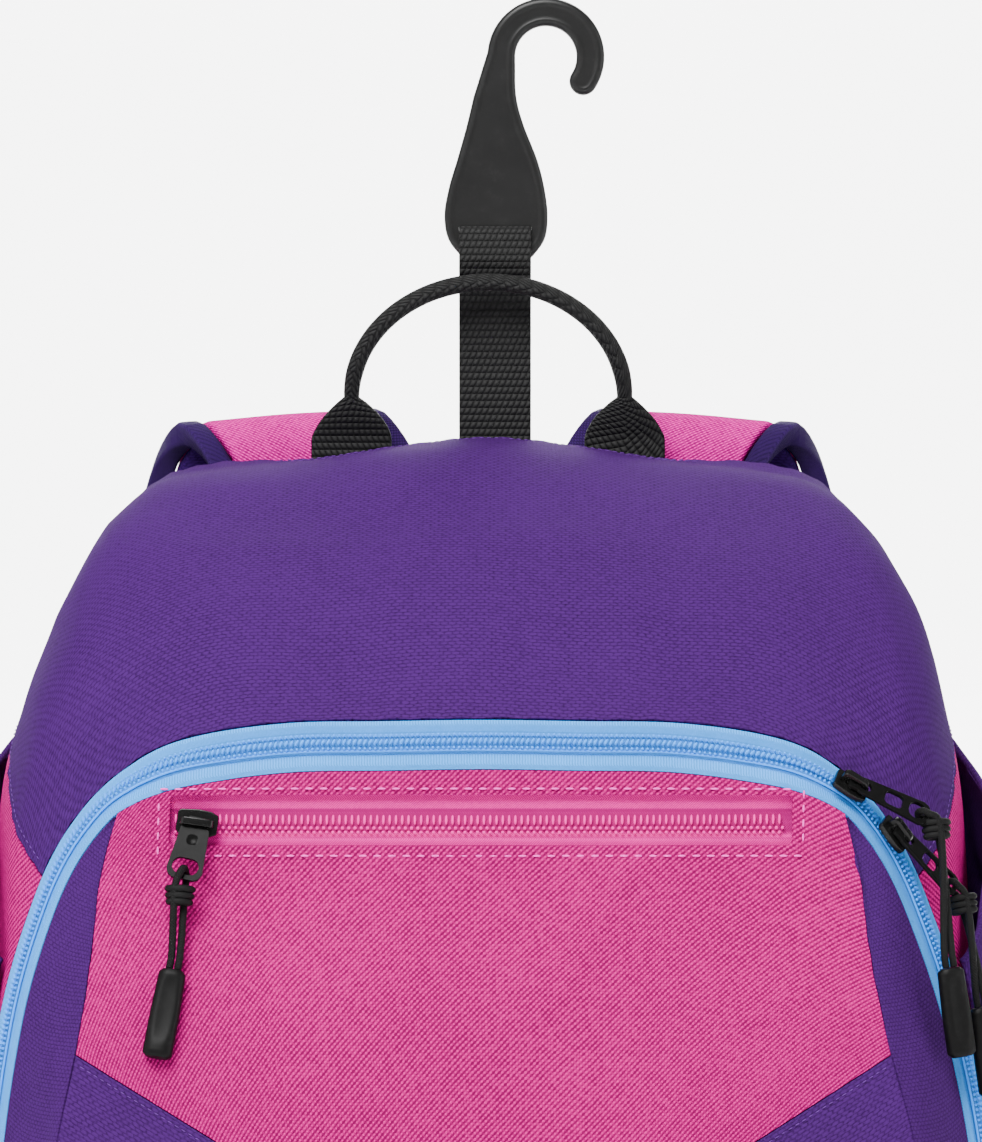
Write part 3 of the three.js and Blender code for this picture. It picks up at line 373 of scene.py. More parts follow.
@functools.lru_cache(maxsize=None)
def zip_place_at_width(x):
    low, high = 0.5, 0.5 + 8 / (2 * LAST_ROW)
    for _ in range(24):
        middle = (low + high) / 2
        if tape_point(middle, -TAPE_WIDTH / 2 - GAP)[0] < x:
            low = middle
        else:
            high = middle
    return low


CORNER_PLACE = zip_place_at_width(width_at(FLAP_CORNER_X))
CORNER = tape_point(CORNER_PLACE, -TAPE_WIDTH / 2 - GAP)
FLAP_FRONT_Y = depth_at(OUTLINE[0][5])
FLAP_SIDE = Spline(
    [tuple(CORNER)]
    + [(width_at(x), FLAP_FRONT_Y - FLAP_DEPTH * out / 100, height_at(z)) for x, z, out in FLAP_EDGE]
)


@functools.lru_cache(maxsize=None)
def edge_at_height(z):
    low, high = 0.0, 1.0
    for _ in range(24):
        middle = (low + high) / 2
        if FLAP_SIDE.at(middle)[2] > z:
            low = middle
        else:
            high = middle
    return FLAP_SIDE.at(low)


def flap_face(u, z, edge_z):
    edge = edge_at_height(edge_z)
    fall = clamp((CORNER[2] - z) / (CORNER[2] - BASE_TOP))
    swell = FLAP_BULGE * math.sin(math.pi * fall**0.8) ** 0.8
    return np.array((u * edge[0], edge_at_height(z)[1] - swell * (1 - u * u), z))


def seam_height(u):
    return height_at(lerp(*COLOUR_SEAM, abs(u)))


def pink_face(u, v):
    top = tape_point(zip_place_at_width(abs(u) * CORNER[0]), -TAPE_WIDTH / 2 - GAP)
    point = flap_face(u, lerp(top[2], seam_height(u), v), lerp(CORNER[2], seam_height(1), v))
    point[1] += (top[1] - flap_face(u, top[2], CORNER[2])[1]) * (1 - v) ** 4
    return point


def pink_face_at(x, z):
    """The flap's front at a place in millimetres, left or right of the middle."""
    share = x / FLAP_HALF
    for _ in range(3):
        top = tape_point(zip_place_at_width(abs(share) * CORNER[0]), -TAPE_WIDTH / 2 - GAP)
        point = pink_face(share, (top[2] - z) / (top[2] - seam_height(share)))
        share *= x / point[0] if abs(point[0]) > 1 else 1
    return point


POCKET_Z = tape_point(0.5, -TAPE_WIDTH / 2)[2] - POCKET_DROP


def grid_of(rows, columns, point_at):
    """Rows and columns of points; point_at takes the shares down and across."""
    return np.array(
        [[point_at(i / rows, j / columns) for j in range(columns + 1)] for i in range(rows + 1)]
    )


def grid_normals(grid):
    normals = np.cross(np.gradient(grid, axis=0), np.gradient(grid, axis=1))
    lengths = np.linalg.norm(normals, axis=2, keepdims=True)
    return normals / np.maximum(lengths, 1e-9)


def outward_normals(grid, centre=(0, 0, 220)):
    """Normals of a grid turned away from a point inside the bag."""
    normals = grid_normals(grid)
    away = np.sum(normals * (grid - np.array(centre)), axis=2)
    return normals if away.mean() > 0 else -normals


# Relief of soft cloth, in millimetres


def noise_over(grid, size, seed, octaves=2):
    value = np.zeros(grid.shape[:2])
    for i, row in enumerate(grid):
        for j, p in enumerate(row):
            place = Vector(p) / size + Vector((seed * 7.3, seed * 3.1, seed))
            value[i, j] = noise.fractal(place, 1.0, 2.0, octaves)
    return value


def billow(grid, size, depth, seed):
    """Broad soft hollows and swells."""
    return depth * noise_over(grid, size, seed)


def creases(grid, size, depth, seed):
    """Thin raised folds that wander over the cloth."""
    return depth * np.clip(1 - 5 * np.abs(noise_over(grid, size, seed, 1)), 0, 1) ** 1.5


def edge_fade(grid, reach, edges="lrtb"):
    """A share that falls to nothing at the named edges of a grid; reach is in rows or columns of 1."""
    rows, columns = grid.shape[:2]
    v = np.linspace(0, 1, rows)[:, None]
    w = np.linspace(0, 1, columns)[None, :]
    sides = {"t": v, "b": 1 - v, "l": w, "r": 1 - w}
    fade = np.ones((rows, columns))
    for edge in edges:
        fade = fade * np.clip(sides[edge] / reach, 0, 1)
    return fade * fade * (3 - 2 * fade)


def puckers(grid, edge, pitch, depth, reach):
    """Small gathers that run in from a sewn edge of a grid; pitch and reach are in millimetres."""
    turned = {
        "t": grid,
        "b": grid[::-1],
        "l": grid.transpose(1, 0, 2),
        "r": grid[:, ::-1].transpose(1, 0, 2),
    }
    order = turned[edge]
    steps = np.linalg.norm(np.diff(order, axis=0), axis=2)
    across = np.concatenate([np.zeros((1, order.shape[1])), np.cumsum(steps, axis=0)])
    along = np.concatenate([[0], np.cumsum(np.linalg.norm(np.diff(order[0], axis=0), axis=1))])
    drift = np.array([noise.noise(Vector((a / pitch / 2.3, 0.4, 9.1))) for a in along])
    wave = np.sin(2 * math.pi * (along / pitch + 0.6 * drift)) * (0.5 + 0.5 * np.abs(drift))
    value = depth * wave[None, :] * np.exp(-across / reach)
    if edge in "lr":
        value = value.T
    return value[:, ::-1] if edge == "r" else value[::-1] if edge == "b" else value


def hollow(grid, centre, radii, depth):
    """One soft dent around a place given by x and z."""
    dx = (grid[:, :, 0] - centre[0]) / radii[0]
    dz = (grid[:, :, 2] - centre[1]) / radii[1]
    return -depth * np.exp(-(dx * dx + dz * dz))


# Making pieces


def deselect():
    if bpy.context.mode != "OBJECT":
        bpy.ops.object.mode_set(mode="OBJECT")
    bpy.ops.object.select_all(action="DESELECT")


def only(piece):
    deselect()
    piece.select_set(True)
    bpy.context.view_layer.objects.active = piece


def in_edit_mode(piece, *steps):
    """Runs edit-mode steps on all of a piece."""
    only(piece)
    bpy.ops.object.mode_set(mode="EDIT")
    bpy.ops.mesh.select_mode(type="VERT")
    bpy.ops.mesh.select_all(action="SELECT")
    for step in steps:
        step()
    bpy.ops.object.mode_set(mode="OBJECT")


def modify(piece, kind, **settings):
    """Adds one modifier and applies it."""
    only(piece)
    modifier = piece.modifiers.new(kind.title(), kind)
    for key, value in settings.items():
        setattr(modifier, key, value)
    bpy.ops.object.modifier_apply(modifier=modifier.name)


def smooth(piece, angle=None):
    only(piece)
    if angle is None:
        bpy.ops.object.shade_smooth()
    else:
        bpy.ops.object.shade_smooth_by_angle(angle=math.radians(angle))


def polished(piece, angle):
    """Smooth shading that keeps large flat faces flat beside their bevels."""
    smooth(piece, angle)
    modify(piece, "WEIGHTED_NORMAL", keep_sharp=True)


def select_all_again():
    bpy.ops.mesh.select_all(action="SELECT")


def turn_faces_out():
    select_all_again()
    bpy.ops.mesh.normals_make_consistent(inside=False)


def vertex_array(mesh):
    flat = np.empty(len(mesh.vertices) * 3)
    mesh.vertices.foreach_get("co", flat)
    return flat.reshape(-1, 3)


def set_vertices(mesh, places):
    mesh.vertices.foreach_set("co", np.ascontiguousarray(places, dtype=float).ravel())
    mesh.update()


def shaped_grid(name, points):
    """A primitive grid moved to rows and columns of points, with UVs in millimetres of cloth."""
    rows, columns = points.shape[0] - 1, points.shape[1] - 1
    deselect()
    bpy.ops.mesh.primitive_grid_add(x_subdivisions=columns, y_subdivisions=rows, size=2)
    piece = bpy.context.object
    piece.name = piece.data.name = name
    mesh = piece.data
    flat = vertex_array(mesh)
    j = np.rint((flat[:, 0] + 1) / 2 * columns).astype(int)
    i = np.rint((1 - flat[:, 1]) / 2 * rows).astype(int)
    set_vertices(mesh, points[i, j] * MM)
    across = np.cumsum(np.linalg.norm(np.diff(points, axis=1), axis=2), axis=1)
    across = np.hstack([np.zeros((rows + 1, 1)), across])
    across -= across[:, columns // 2][:, None]
    down = np.cumsum(np.linalg.norm(np.diff(points, axis=0), axis=2), axis=0)
    down = np.vstack([np.zeros((1, columns + 1)), down])
    corner = np.empty(len(mesh.loops), dtype=int)
    mesh.loops.foreach_get("vertex_index", corner)
    uv = np.stack([across[i, j], down[i, j]], axis=1)[corner]
    mesh.uv_layers[0].data.foreach_set("uv", uv.ravel())
    return piece


def turned_out(piece, centre=(0, 0, 0.22)):
    """Turns an open sheet's faces away from a point inside the bag."""
    total = sum((f.center - Vector(centre)).dot(f.normal) * f.area for f in piece.data.polygons)
    if total < 0:
        in_edit_mode(piece, bpy.ops.mesh.flip_normals)
    return piece


def cloth(name, grid, relief, wall=WALL, leaning=True):
    """A sheet of cloth with its relief, given its thickness inwards."""
    shaped = grid + outward_normals(grid) * relief[:, :, None]
    if leaning:
        shaped[:, :, 0] += lean_at(shaped[:, :, 2])
    piece = turned_out(shaped_grid(name, shaped))
    modify(piece, "SOLIDIFY", thickness=wall * MM, offset=-1, use_even_offset=True)
    smooth(piece, 50)
    return piece


def tube(name, loops):
    """A closed skin through loops of points; its two ends are filled."""
    points = np.array(loops)
    points = np.concatenate([points, points[:, :1]], axis=1)
    piece = shaped_grid(name, points)

    def merge():
        bpy.ops.mesh.remove_doubles(threshold=1e-6)

    def fill():
        select_all_again()
        bpy.ops.mesh.fill_holes(sides=0)

    in_edit_mode(piece, merge, fill, turn_faces_out)
    return piece


def rounded_section(width, depth, radius, per_corner=4):
    """Offsets around a rounded rectangle."""
    section = []
    for quarter in range(4):
        sx = 1 if quarter in (0, 3) else -1
        sy = 1 if quarter in (0, 1) else -1
        for k in range(per_corner + 1):
            angle = math.pi / 2 * (quarter + k / per_corner)
            section.append(
                (
                    sx * (width / 2 - radius) + radius * math.cos(angle),
                    sy * (depth / 2 - radius) + radius * math.sin(angle),
                )
            )
    return section


def band(name, centres, across, section):
    """Webbing swept along centres; across is its width direction at each."""
    centres = np.array(centres, dtype=float)
    loops = []
    for i, centre in enumerate(centres):
        along = centres[min(i + 1, len(centres) - 1)] - centres[max(i - 1, 0)]
        wide = np.array(across(i), dtype=float)
        thick = np.cross(wide, along)
        thick /= np.linalg.norm(thick)
        loops.append([centre + wide * a + thick * b for a, b in section])
    piece = tube(name, loops)
    smooth(piece, 60)
    return piece


def joined(name, pieces):
    deselect()
    for piece in pieces:
        piece.select_set(True)
    bpy.context.view_layer.objects.active = pieces[0]
    if len(pieces) > 1:
        bpy.ops.object.join()
    whole = bpy.context.object
    whole.name = whole.data.name = name
    return whole


def finish_piece(piece, material, slot, *nodes):
    """Gives a piece its material, and its place among the solids."""
    piece.data.materials.clear()
    piece.data.materials.append(material)
    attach(piece, "root")
    if nodes:
        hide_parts(*nodes)
    return piece


def repeated(name, template, placements):
    """Many copies of a template mesh, each under a 4 by 4 placement in millimetres, as one piece."""
    base = vertex_array(template.data)
    faces = [tuple(f.vertices) for f in template.data.polygons]
    vertices, polygons = [], []
    for k, place in enumerate(placements):
        m = np.array(place)
        vertices.append(base @ m[:3, :3].T + m[:3, 3] * MM)
        polygons.extend(tuple(v + k * len(base) for v in f) for f in faces)
    mesh = bpy.data.meshes.new(name)
    mesh.from_pydata(np.concatenate(vertices).tolist(), [], polygons)
    piece = bpy.data.objects.new(name, mesh)
    bpy.context.collection.objects.link(piece)
    bpy.data.objects.remove(template)
    smooth(piece)
    return piece


def bead(length, width, height, segments=6, rings=4):
    """A long rounded bead, the template of stitches and zip teeth."""
    deselect()
    bpy.ops.mesh.primitive_uv_sphere_add(segments=segments, ring_count=rings, radius=0.5)
    template = bpy.context.object
    lying = vertex_array(template.data)[:, [2, 0, 1]]
    set_vertices(template.data, lying * np.array((length, width, height)) * MM)
    return template


def placement(origin, x_axis, z_axis):
    x = np.array(x_axis, dtype=float)
    x /= np.linalg.norm(x)
    z = np.array(z_axis, dtype=float) - np.dot(z_axis, x) * x
    z /= np.linalg.norm(z)
    m = np.eye(4)
    m[:3, 0], m[:3, 1], m[:3, 2], m[:3, 3] = x, np.cross(z, x), z, origin
    return m


def stitch_line(line, normals, pitch, share=0.72):
    """Placements of stitches along a line of points."""
    line, normals = np.array(line), np.array(normals)
    steps = np.concatenate([[0], np.cumsum(np.linalg.norm(np.diff(line, axis=0), axis=1))])
    places = []
    for k in range(int(steps[-1] / pitch)):
        a, b = k * pitch, (k + share) * pitch
        start = np.array([np.interp(a, steps, line[:, c]) for c in range(3)])
        end = np.array([np.interp(b, steps, line[:, c]) for c in range(3)])
        up = np.array([np.interp((a + b) / 2, steps, normals[:, c]) for c in range(3)])
        places.append(placement((start + end) / 2, end - start, up))
    return places


# Shader maths


class Value:
    """One output of a shader node; arithmetic on it adds Math nodes."""

    def __init__(self, finish, socket):
        self.finish = finish
        self.socket = socket

    def __add__(self, other):
        return self.finish.math("ADD", self, other)

    def __sub__(self, other):
        return self.finish.math("SUBTRACT", self, other)

    def __rsub__(self, other):
        return self.finish.math("SUBTRACT", other, self)

    def __mul__(self, other):
        return self.finish.math("MULTIPLY", self, other)

    def __truediv__(self, other):
        return self.finish.math("DIVIDE", self, other)

    def __mod__(self, other):
        return self.finish.math("FLOORED_MODULO", self, other)

    def __pow__(self, other):
        return self.finish.math("POWER", self, other)

    def __abs__(self):
        return self.finish.math("ABSOLUTE", self)

    __radd__ = __add__
    __rmul__ = __mul__


class Finish:
    """A material while its nodes are made."""

    def __init__(self, name):
        self.material = bpy.data.materials.new(name)
        self.material.use_nodes = True
        self.tree = self.material.node_tree
        self.shader = self.tree.nodes["Principled BSDF"]

    def put(self, socket, value):
        if isinstance(value, Value):
            self.tree.links.new(value.socket, socket)
        else:
            socket.default_value = value

    def node(self, kind, settings=None, inputs=None, output=0):
        """Adds a node: its settings first, then the values or links of its sockets."""
        made = self.tree.nodes.new(kind)
        for key, value in (settings or {}).items():
            setattr(made, key, value)
        for key, value in (inputs or {}).items():
            self.put(made.inputs[key], value)
        return Value(self, made.outputs[output])

    def math(self, operation, *values):
        return self.node("ShaderNodeMath", {"operation": operation}, dict(enumerate(values)))

    def floor(self, value):
        return self.math("FLOOR", value)

    def sine(self, value):
        return self.math("SINE", value)

    def cosine(self, value):
        return self.math("COSINE", value)

    def mix(self, factor, a, b):
        return self.node("ShaderNodeMix", {"data_type": "RGBA"}, {0: factor, 6: a, 7: b}, output=2)

    def dimmed(self, colour, brightness):
        """A colour times a grey value."""
        grey = self.node("ShaderNodeCombineColor", None, {0: brightness, 1: brightness, 2: brightness})
        settings = {"data_type": "RGBA", "blend_type": "MULTIPLY"}
        return self.node("ShaderNodeMix", settings, {0: 1.0, 6: colour, 7: grey}, output=2)

    def cloth_place(self, plane=None):
        """The place on the cloth in millimetres, across and along it; a plane such as XZ needs no UV map."""
        place = self.object_place() if plane else self.node("ShaderNodeUVMap", {"uv_map": "UVMap"})
        split = self.tree.nodes.new("ShaderNodeSeparateXYZ")
        self.put(split.inputs[0], place)
        across, along = (Value(self, split.outputs["XYZ".index(axis)]) for axis in plane or "XY")
        return (across * 1000, along * 1000) if plane else (across, along)

    def object_place(self):
        place = self.tree.nodes.new("ShaderNodeTexCoord")
        return Value(self, place.outputs["Object"])

    def noise(self, size, detail=2.0, roughness=0.5, place=None):
        """Noise of features about size millimetres across."""
        settings = {"noise_dimensions": "3D"}
        values = {"Vector": place or self.object_place(), "Scale": 1000 / size}
        values.update({"Detail": detail, "Roughness": roughness})
        return self.node("ShaderNodeTexNoise", settings, values)

    def bumped(self, height, depth):
        """A normal from a height map; depth is in millimetres."""
        return self.node("ShaderNodeBump", None, {"Height": height, "Distance": depth * MM, "Strength": 1.0})

    def done(self, colour, roughness, normal=None, **fixed):
        self.put(self.shader.inputs["Base Color"], colour)
        self.put(self.shader.inputs["Roughness"], roughness)
        if normal is not None:
            self.put(self.shader.inputs["Normal"], normal)
        for key, value in fixed.items():
            self.shader.inputs[key.replace("_", " ")].default_value = value
        return self.material


def linear(colour):
    """A display colour, from 0 to 1, as the shader's own colour."""
    parts = [c / 12.92 if c <= 0.04045 else ((c + 0.055) / 1.055) ** 2.4 for c in colour]
    return (*parts, 1.0)


def cloths():
    """The colours and weaves that the panel holds."""
    return bpy.context.scene.bat_bag_cloth


def sewing():
    """The folds, seams and zips that the panel holds."""
    return bpy.context.scene.bat_bag_sewing


# Painted shade lines of the two tapes, dark bands painted where shade falls beside the coils and folds:
# middle, half a width and strength, in mm across each tape
BLUE_PAINTED_SHADE_LINES = ((-2.75, 0.5, 0.9), (1.75, 0.6, 1.4), (-0.9, 2.2, 0.8), (-4.3, 0.4, 0.4))
PINK_PAINTED_SHADE_LINES = ((7.2, 0.8, 0.8), (9.5, 3.0, 1.3), (13.2, 2.2, 1.3), (16.5, 0.6, 0.4))


def shaded(f, base, level, depth):
    """A base colour that deepens to a part of itself where the level is low; where a level follows the
    threads' height, this is painted shade in the gaps and painted highlights on the raised threads.
    """
    return f.mix(level, linear_scaled(base, depth), linear(base))


def linear_scaled(colour, share):
    return (*(c * share for c in linear(colour)[:3]), 1.0)


def basket(name, base, wide, tall, depth, shade=0.2):
    """Coarse cloth: over and under threads in checks, whose twist draws slanting lines; painted highlights
    on the raised threads and lines, painted shade in the gaps.
    """
    f = Finish(name)
    across, along = f.cloth_place()
    wander = f.noise(11, 2)
    u = across / wide + wander * 0.5
    v = along / tall + wander * 0.5
    over = 1 - (f.floor(u) + f.floor(v)) % 2
    dot = abs(f.sine(u * math.pi)) * abs(f.sine(v * math.pi))
    slant = 0.5 - f.cosine((u + v) * math.pi) * 0.5
    height = dot * (0.2 + over * 0.8) * 0.65 + slant * 0.35
    cell = f.node("ShaderNodeCombineXYZ", None, {0: f.floor(u), 1: f.floor(v)})
    fleck = f.node("ShaderNodeTexWhiteNoise", {"noise_dimensions": "2D"}, {"Vector": cell})
    patches = f.noise(42, 3)
    # colour follows thread height: painted shade in the gaps, painted highlights on raised threads and
    # slanting lines; fleck and patches are random tone
    level = height * 1.7 - 0.1 + (fleck - 0.5) * 0.35 + (patches - 0.5) * 0.3
    return f.done(
        shaded(f, base, level, shade),
        0.85 + (patches - 0.5) * 0.1,
        f.bumped(height + (patches - 0.5) * 0.4, depth),
        Specular_IOR_Level=0.03,
    )


def slubby(name, base, plane=None, shade=0.18, dash=2.65, row=1.27):
    """Fine cloth whose rows of dashes sit half a step apart."""
    f = Finish(name)
    across, along = f.cloth_place(plane)
    wander = f.noise(16, 3)
    v = along / row + wander * 0.7
    u = across / dash + f.floor(v) * 0.5 + wander * 0.4
    dashes = abs(f.sine(u * math.pi)) ** 0.6 * abs(f.sine(v * math.pi)) ** 0.8
    threads = f.node("ShaderNodeCombineXYZ", None, {0: across / 1.4, 1: along / 0.35})
    grain = f.noise(1000, 2, 0.6, threads)
    cell = f.node("ShaderNodeCombineXYZ", None, {0: f.floor(u), 1: f.floor(v)})
    fleck = f.node("ShaderNodeTexWhiteNoise", {"noise_dimensions": "2D"}, {"Vector": cell})
    patches = f.noise(45, 3)
    # colour follows the raised dashes: painted shade in the gaps between them; thread grain, flecks and
    # patches are random tone
    level = dashes * (0.5 + fleck * 0.3) + (grain - 0.5) * 1.5 + 0.42 + (patches - 0.5) * 0.3
    return f.done(
        shaded(f, base, level, shade),
        0.8 + (patches - 0.5) * 0.12,
        f.bumped(dashes * 0.6 + grain * 0.6 + (patches - 0.5) * 0.5, 0.15),
        Specular_IOR_Level=0.02,
    )


def ribbed(name, base, row=2.43, cell=2.04, depth=0.45, shade=0.12, lean=0.45, specular=0.3):
    """Webbing: rows of leaning loops, each row half a step from the last, with painted highlights on the
    loops and painted shade between them.
    """
    f = Finish(name)
    across, along = f.cloth_place()
    v = along / row
    step = f.floor(v)
    within = v - step
    u = across / cell + step * 0.5 + within * lean
    loops = abs(f.sine(u * math.pi)) ** 0.6 * f.sine(within * math.pi) ** 0.6
    fluff = f.noise(0.6, 2)
    patches = f.noise(20, 3)
    # colour follows the loops: painted highlights on their tops, painted shade between them; fluff and
    # patches are random tone
    level = loops * 1.4 - 0.35 + (fluff - 0.5) * 1.1 + (patches - 0.5) * 0.3
    return f.done(
        shaded(f, base, level, shade),
        0.75 + (patches - 0.5) * 0.1,
        f.bumped(loops + fluff * 0.15, depth),
        Specular_IOR_Level=specular,
    )


def herringbone(name, base, pitch=0.9, lane=3.4, shade=0.6, painted_shade_lines=(), upright=False):
    """Zip tape: fine slanting ribs that turn at each lane, painted lighter on their crests as highlights,
    with painted shade lines along its coil.

    A painted shade line has a middle, half a width and a strength, in mm across the tape; upright tapes run
    sideways.
    """
    f = Finish(name)
    across, along = f.cloth_place()
    if upright:
        across, along = along, across
    zigzag = abs(across % (2 * lane) - lane)
    ribs = abs(f.sine((along + zigzag) * (math.pi / pitch)))
    fluff = f.noise(0.7, 2)
    patches = f.noise(24, 3)
    # ribs are painted lighter on their crests as highlights; fluff and patches are random tone; the lines
    # below darken the tape as painted shade
    level = ribs * 0.7 + fluff * 0.4 + (patches - 0.5) * 0.3
    for middle, reach, strength in painted_shade_lines:
        inside = f.math("MAXIMUM", 1 - abs(across - middle) / reach, 0.0)
        level = level - inside * strength
    return f.done(
        shaded(f, base, level, shade),
        0.8 + (patches - 0.5) * 0.1,
        f.bumped(ribs + fluff * 0.4, 0.12),
        Specular_IOR_Level=0.1,
    )


def moulded(name, base, roughness, grain=0.03, metallic=0.0, coat=0.0, specular=0.5):
    """Moulded plastic, rubber or coated metal with a fine grain and light wear."""
    f = Finish(name)
    fine = f.noise(0.7, 2)
    broad = f.noise(14, 4)
    scuffs = f.noise(4, 6, 0.7) ** 7
    return f.done(
        f.mix(scuffs, linear(base), linear([lerp(c, 1, 0.25) for c in base])),
        roughness + (broad - 0.5) * 0.16 + scuffs * 0.1,
        f.bumped(fine * grain + broad * grain, 1.0),
        Metallic=metallic,
        Coat_Weight=coat,
        Coat_Roughness=0.2,
        Specular_IOR_Level=specular,
    )


def braided(name, base):
    """Round braided cord: crossing strands around and along it."""
    f = Finish(name)
    around, along = f.cloth_place()
    left = abs(f.sine((along + around * 0.9) * 3.3))
    right = abs(f.sine((along - around * 0.9) * 3.3))
    height = f.math("MAXIMUM", left, right)
    fluff = f.noise(0.5, 2)
    # strands are painted lighter on their crests and darker between them, as painted shade; fluff is random
    # tone
    level = height + (fluff - 0.5) * 0.4
    return f.done(shaded(f, base, level, 0.3), 0.7, f.bumped(height, 0.2), Specular_IOR_Level=0.15)


@functools.lru_cache(maxsize=None)
def material(name):
    """The bag's finishes by name, each made once."""
    c = cloths()
    checks = (c.weave_wide, c.weave_tall, 0.25, 0.25)
    makers = {
        "purple cloth": lambda: slubby("purple cloth", c.purple),
        "lower purple cloth": lambda: slubby("lower purple cloth", c.lower_purple),
        "base cloth": lambda: slubby("base cloth", c.lower_purple, "XY"),
        "back cloth": lambda: slubby("back cloth", c.purple, "XZ"),
        "pink cloth": lambda: basket("pink cloth", c.pink, *checks),
        "side pink cloth": lambda: basket("side pink cloth", c.side_pink, *checks),
        "strap cloth": lambda: basket("strap cloth", c.strap_pink, 0.9, 0.88, 0.25, 0.22),
        # both tapes get their dark bands of painted shade along the coil
        "blue tape": lambda: herringbone("blue tape", c.blue, shade=0.5, painted_shade_lines=BLUE_PAINTED_SHADE_LINES),
        "pink tape": lambda: herringbone(
            "pink tape", c.pink_tape, 0.8, shade=0.35, painted_shade_lines=PINK_PAINTED_SHADE_LINES, upright=True
        ),
        "binding": lambda: ribbed("binding", c.binding, 1.15, 1.0, 0.2, 0.45, 0.9, 0.12),
        "lining": lambda: slubby("lining", c.binding),
        "webbing": lambda: ribbed("webbing", c.black, shade=0.04, depth=0.6),
        "cord": lambda: braided("cord", c.rubber),
        "blue coil": lambda: moulded("blue coil", c.blue_coil, 0.6, 0.01, specular=0.12),
        "pink coil": lambda: moulded("pink coil", c.pink_coil, 0.45, 0.01, specular=0.25),
        "purple thread": lambda: moulded("purple thread", c.purple_thread, 0.7, 0.02, specular=0.15),
        "pink thread": lambda: moulded("pink thread", c.pink_thread, 0.6, 0.02, specular=0.2),
        "black plastic": lambda: moulded("black plastic", c.plastic, 0.4, 0.008, specular=0.25),
        "tab metal": lambda: moulded("tab metal", c.metal, 0.3, 0.003, specular=0.05),
        "black metal": lambda: moulded("black metal", c.metal, 0.25, 0.003, specular=0.22),
        "black rubber": lambda: moulded("black rubber", c.rubber, 0.45, 0.01, specular=0.09),
    }
    return makers[name]()


def colour_property(name, description, default):
    return FloatVectorProperty(
        name=name, description=description, default=default, subtype="COLOR_GAMMA", min=0, max=1
    )


class BAG_PG_cloth(bpy.types.PropertyGroup):
    """Colours and weaves."""

    purple: colour_property("Purple", "Cloth of the top and the gussets", (0.25, 0.105, 0.36))
    lower_purple: colour_property("Lower purple", "Cloth of lower flap and sleeves", (0.25, 0.105, 0.36))
    binding: colour_property("Binding", "Binding round the shoulder straps", (0.19, 0.07, 0.33))
    pink: colour_property("Pink", "Cloth of the flap", (0.82, 0.01, 0.51))
    side_pink: colour_property("Side pink", "Cloth of the side panels", (0.82, 0.01, 0.51))
    strap_pink: colour_property("Strap pink", "Cloth of the shoulder straps", (0.98, 0.05, 0.68))
    pink_tape: colour_property("Pink tape", "Tape of the pocket's zip", (0.97, 0.03, 0.64))
    pink_coil: colour_property("Pink coil", "Teeth of the pocket's zip", (0.97, 0.06, 0.64))
    pink_thread: colour_property("Pink thread", "Stitches on the flap", (0.99, 0.26, 0.76))
    blue: colour_property("Blue", "Tape of the flap's zip", (0.25, 0.64, 1.0))
    blue_coil: colour_property("Blue coil", "Teeth of the flap's zip", (0.22, 0.6, 1.0))
    purple_thread: colour_property("Purple thread", "Stitches on purple cloth", (0.34, 0.17, 0.48))
    black: colour_property("Black", "Webbing and cords", (0.1, 0.1, 0.1))
    plastic: colour_property("Plastic", "Hook and adjusters", (0.07, 0.07, 0.07))
    metal: colour_property("Metal", "Sliders and tabs", (0.05, 0.05, 0.05))
    rubber: colour_property("Rubber", "Grips and cords of the zip pulls", (0.05, 0.05, 0.05))
    weave_wide: FloatProperty(
        name="Weave width", description="Checks across the cloth, mm", default=1.0, min=0.3
    )
    weave_tall: FloatProperty(
        name="Weave height", description="Checks down the cloth, mm", default=0.97, min=0.3
    )


class BAG_PG_sewing(bpy.types.PropertyGroup):
    """Folds, seams and zips."""

    folds: FloatProperty(
        name="Folds", description="Depth of the broad folds in mm", default=2.4, min=0
    )
    gathers: FloatProperty(
        name="Gathers", description="Depth of the gathers at seams in mm", default=0.6, min=0
    )
    stitch: FloatProperty(
        name="Stitch", description="Step of the stitches in mm", default=4.7, min=1
    )
    flap_tooth: FloatProperty(
        name="Flap tooth", description="Step of the flap zip's teeth, mm", default=1.7, min=0.8
    )
    pocket_tooth: FloatProperty(
        name="Pocket tooth", description="Step of the pocket zip's, mm", default=2.03, min=0.8
    )


class BAG_PG_stage(bpy.types.PropertyGroup):
    """Floor, light and camera."""

    backdrop: colour_property("Backdrop", "Floor and backdrop", (0.96, 0.96, 0.96))
    key: FloatProperty(
        name="Key light", description="Power of the large soft light", default=130, unit="POWER"
    )
    fill: FloatProperty(
        name="Fill light", description="Power of the side lights", default=12, unit="POWER"
    )
    wall: FloatProperty(
        name="Wall light", description="Power of the backdrop's lights", default=700, unit="POWER"
    )
    back: FloatProperty(
        name="Back light", description="Power of the light behind the bag", default=60, unit="POWER"
    )
    sky: FloatProperty(
        name="Sky", description="Strength of the light all round", default=0.3, min=0
    )
    distance: FloatProperty(
        name="Distance", description="Camera distance", default=2.0, unit="LENGTH"
    )
    elevation: FloatProperty(
        name="Elevation", description="Camera height angle", default=math.radians(3), subtype="ANGLE"
    )


# The stage


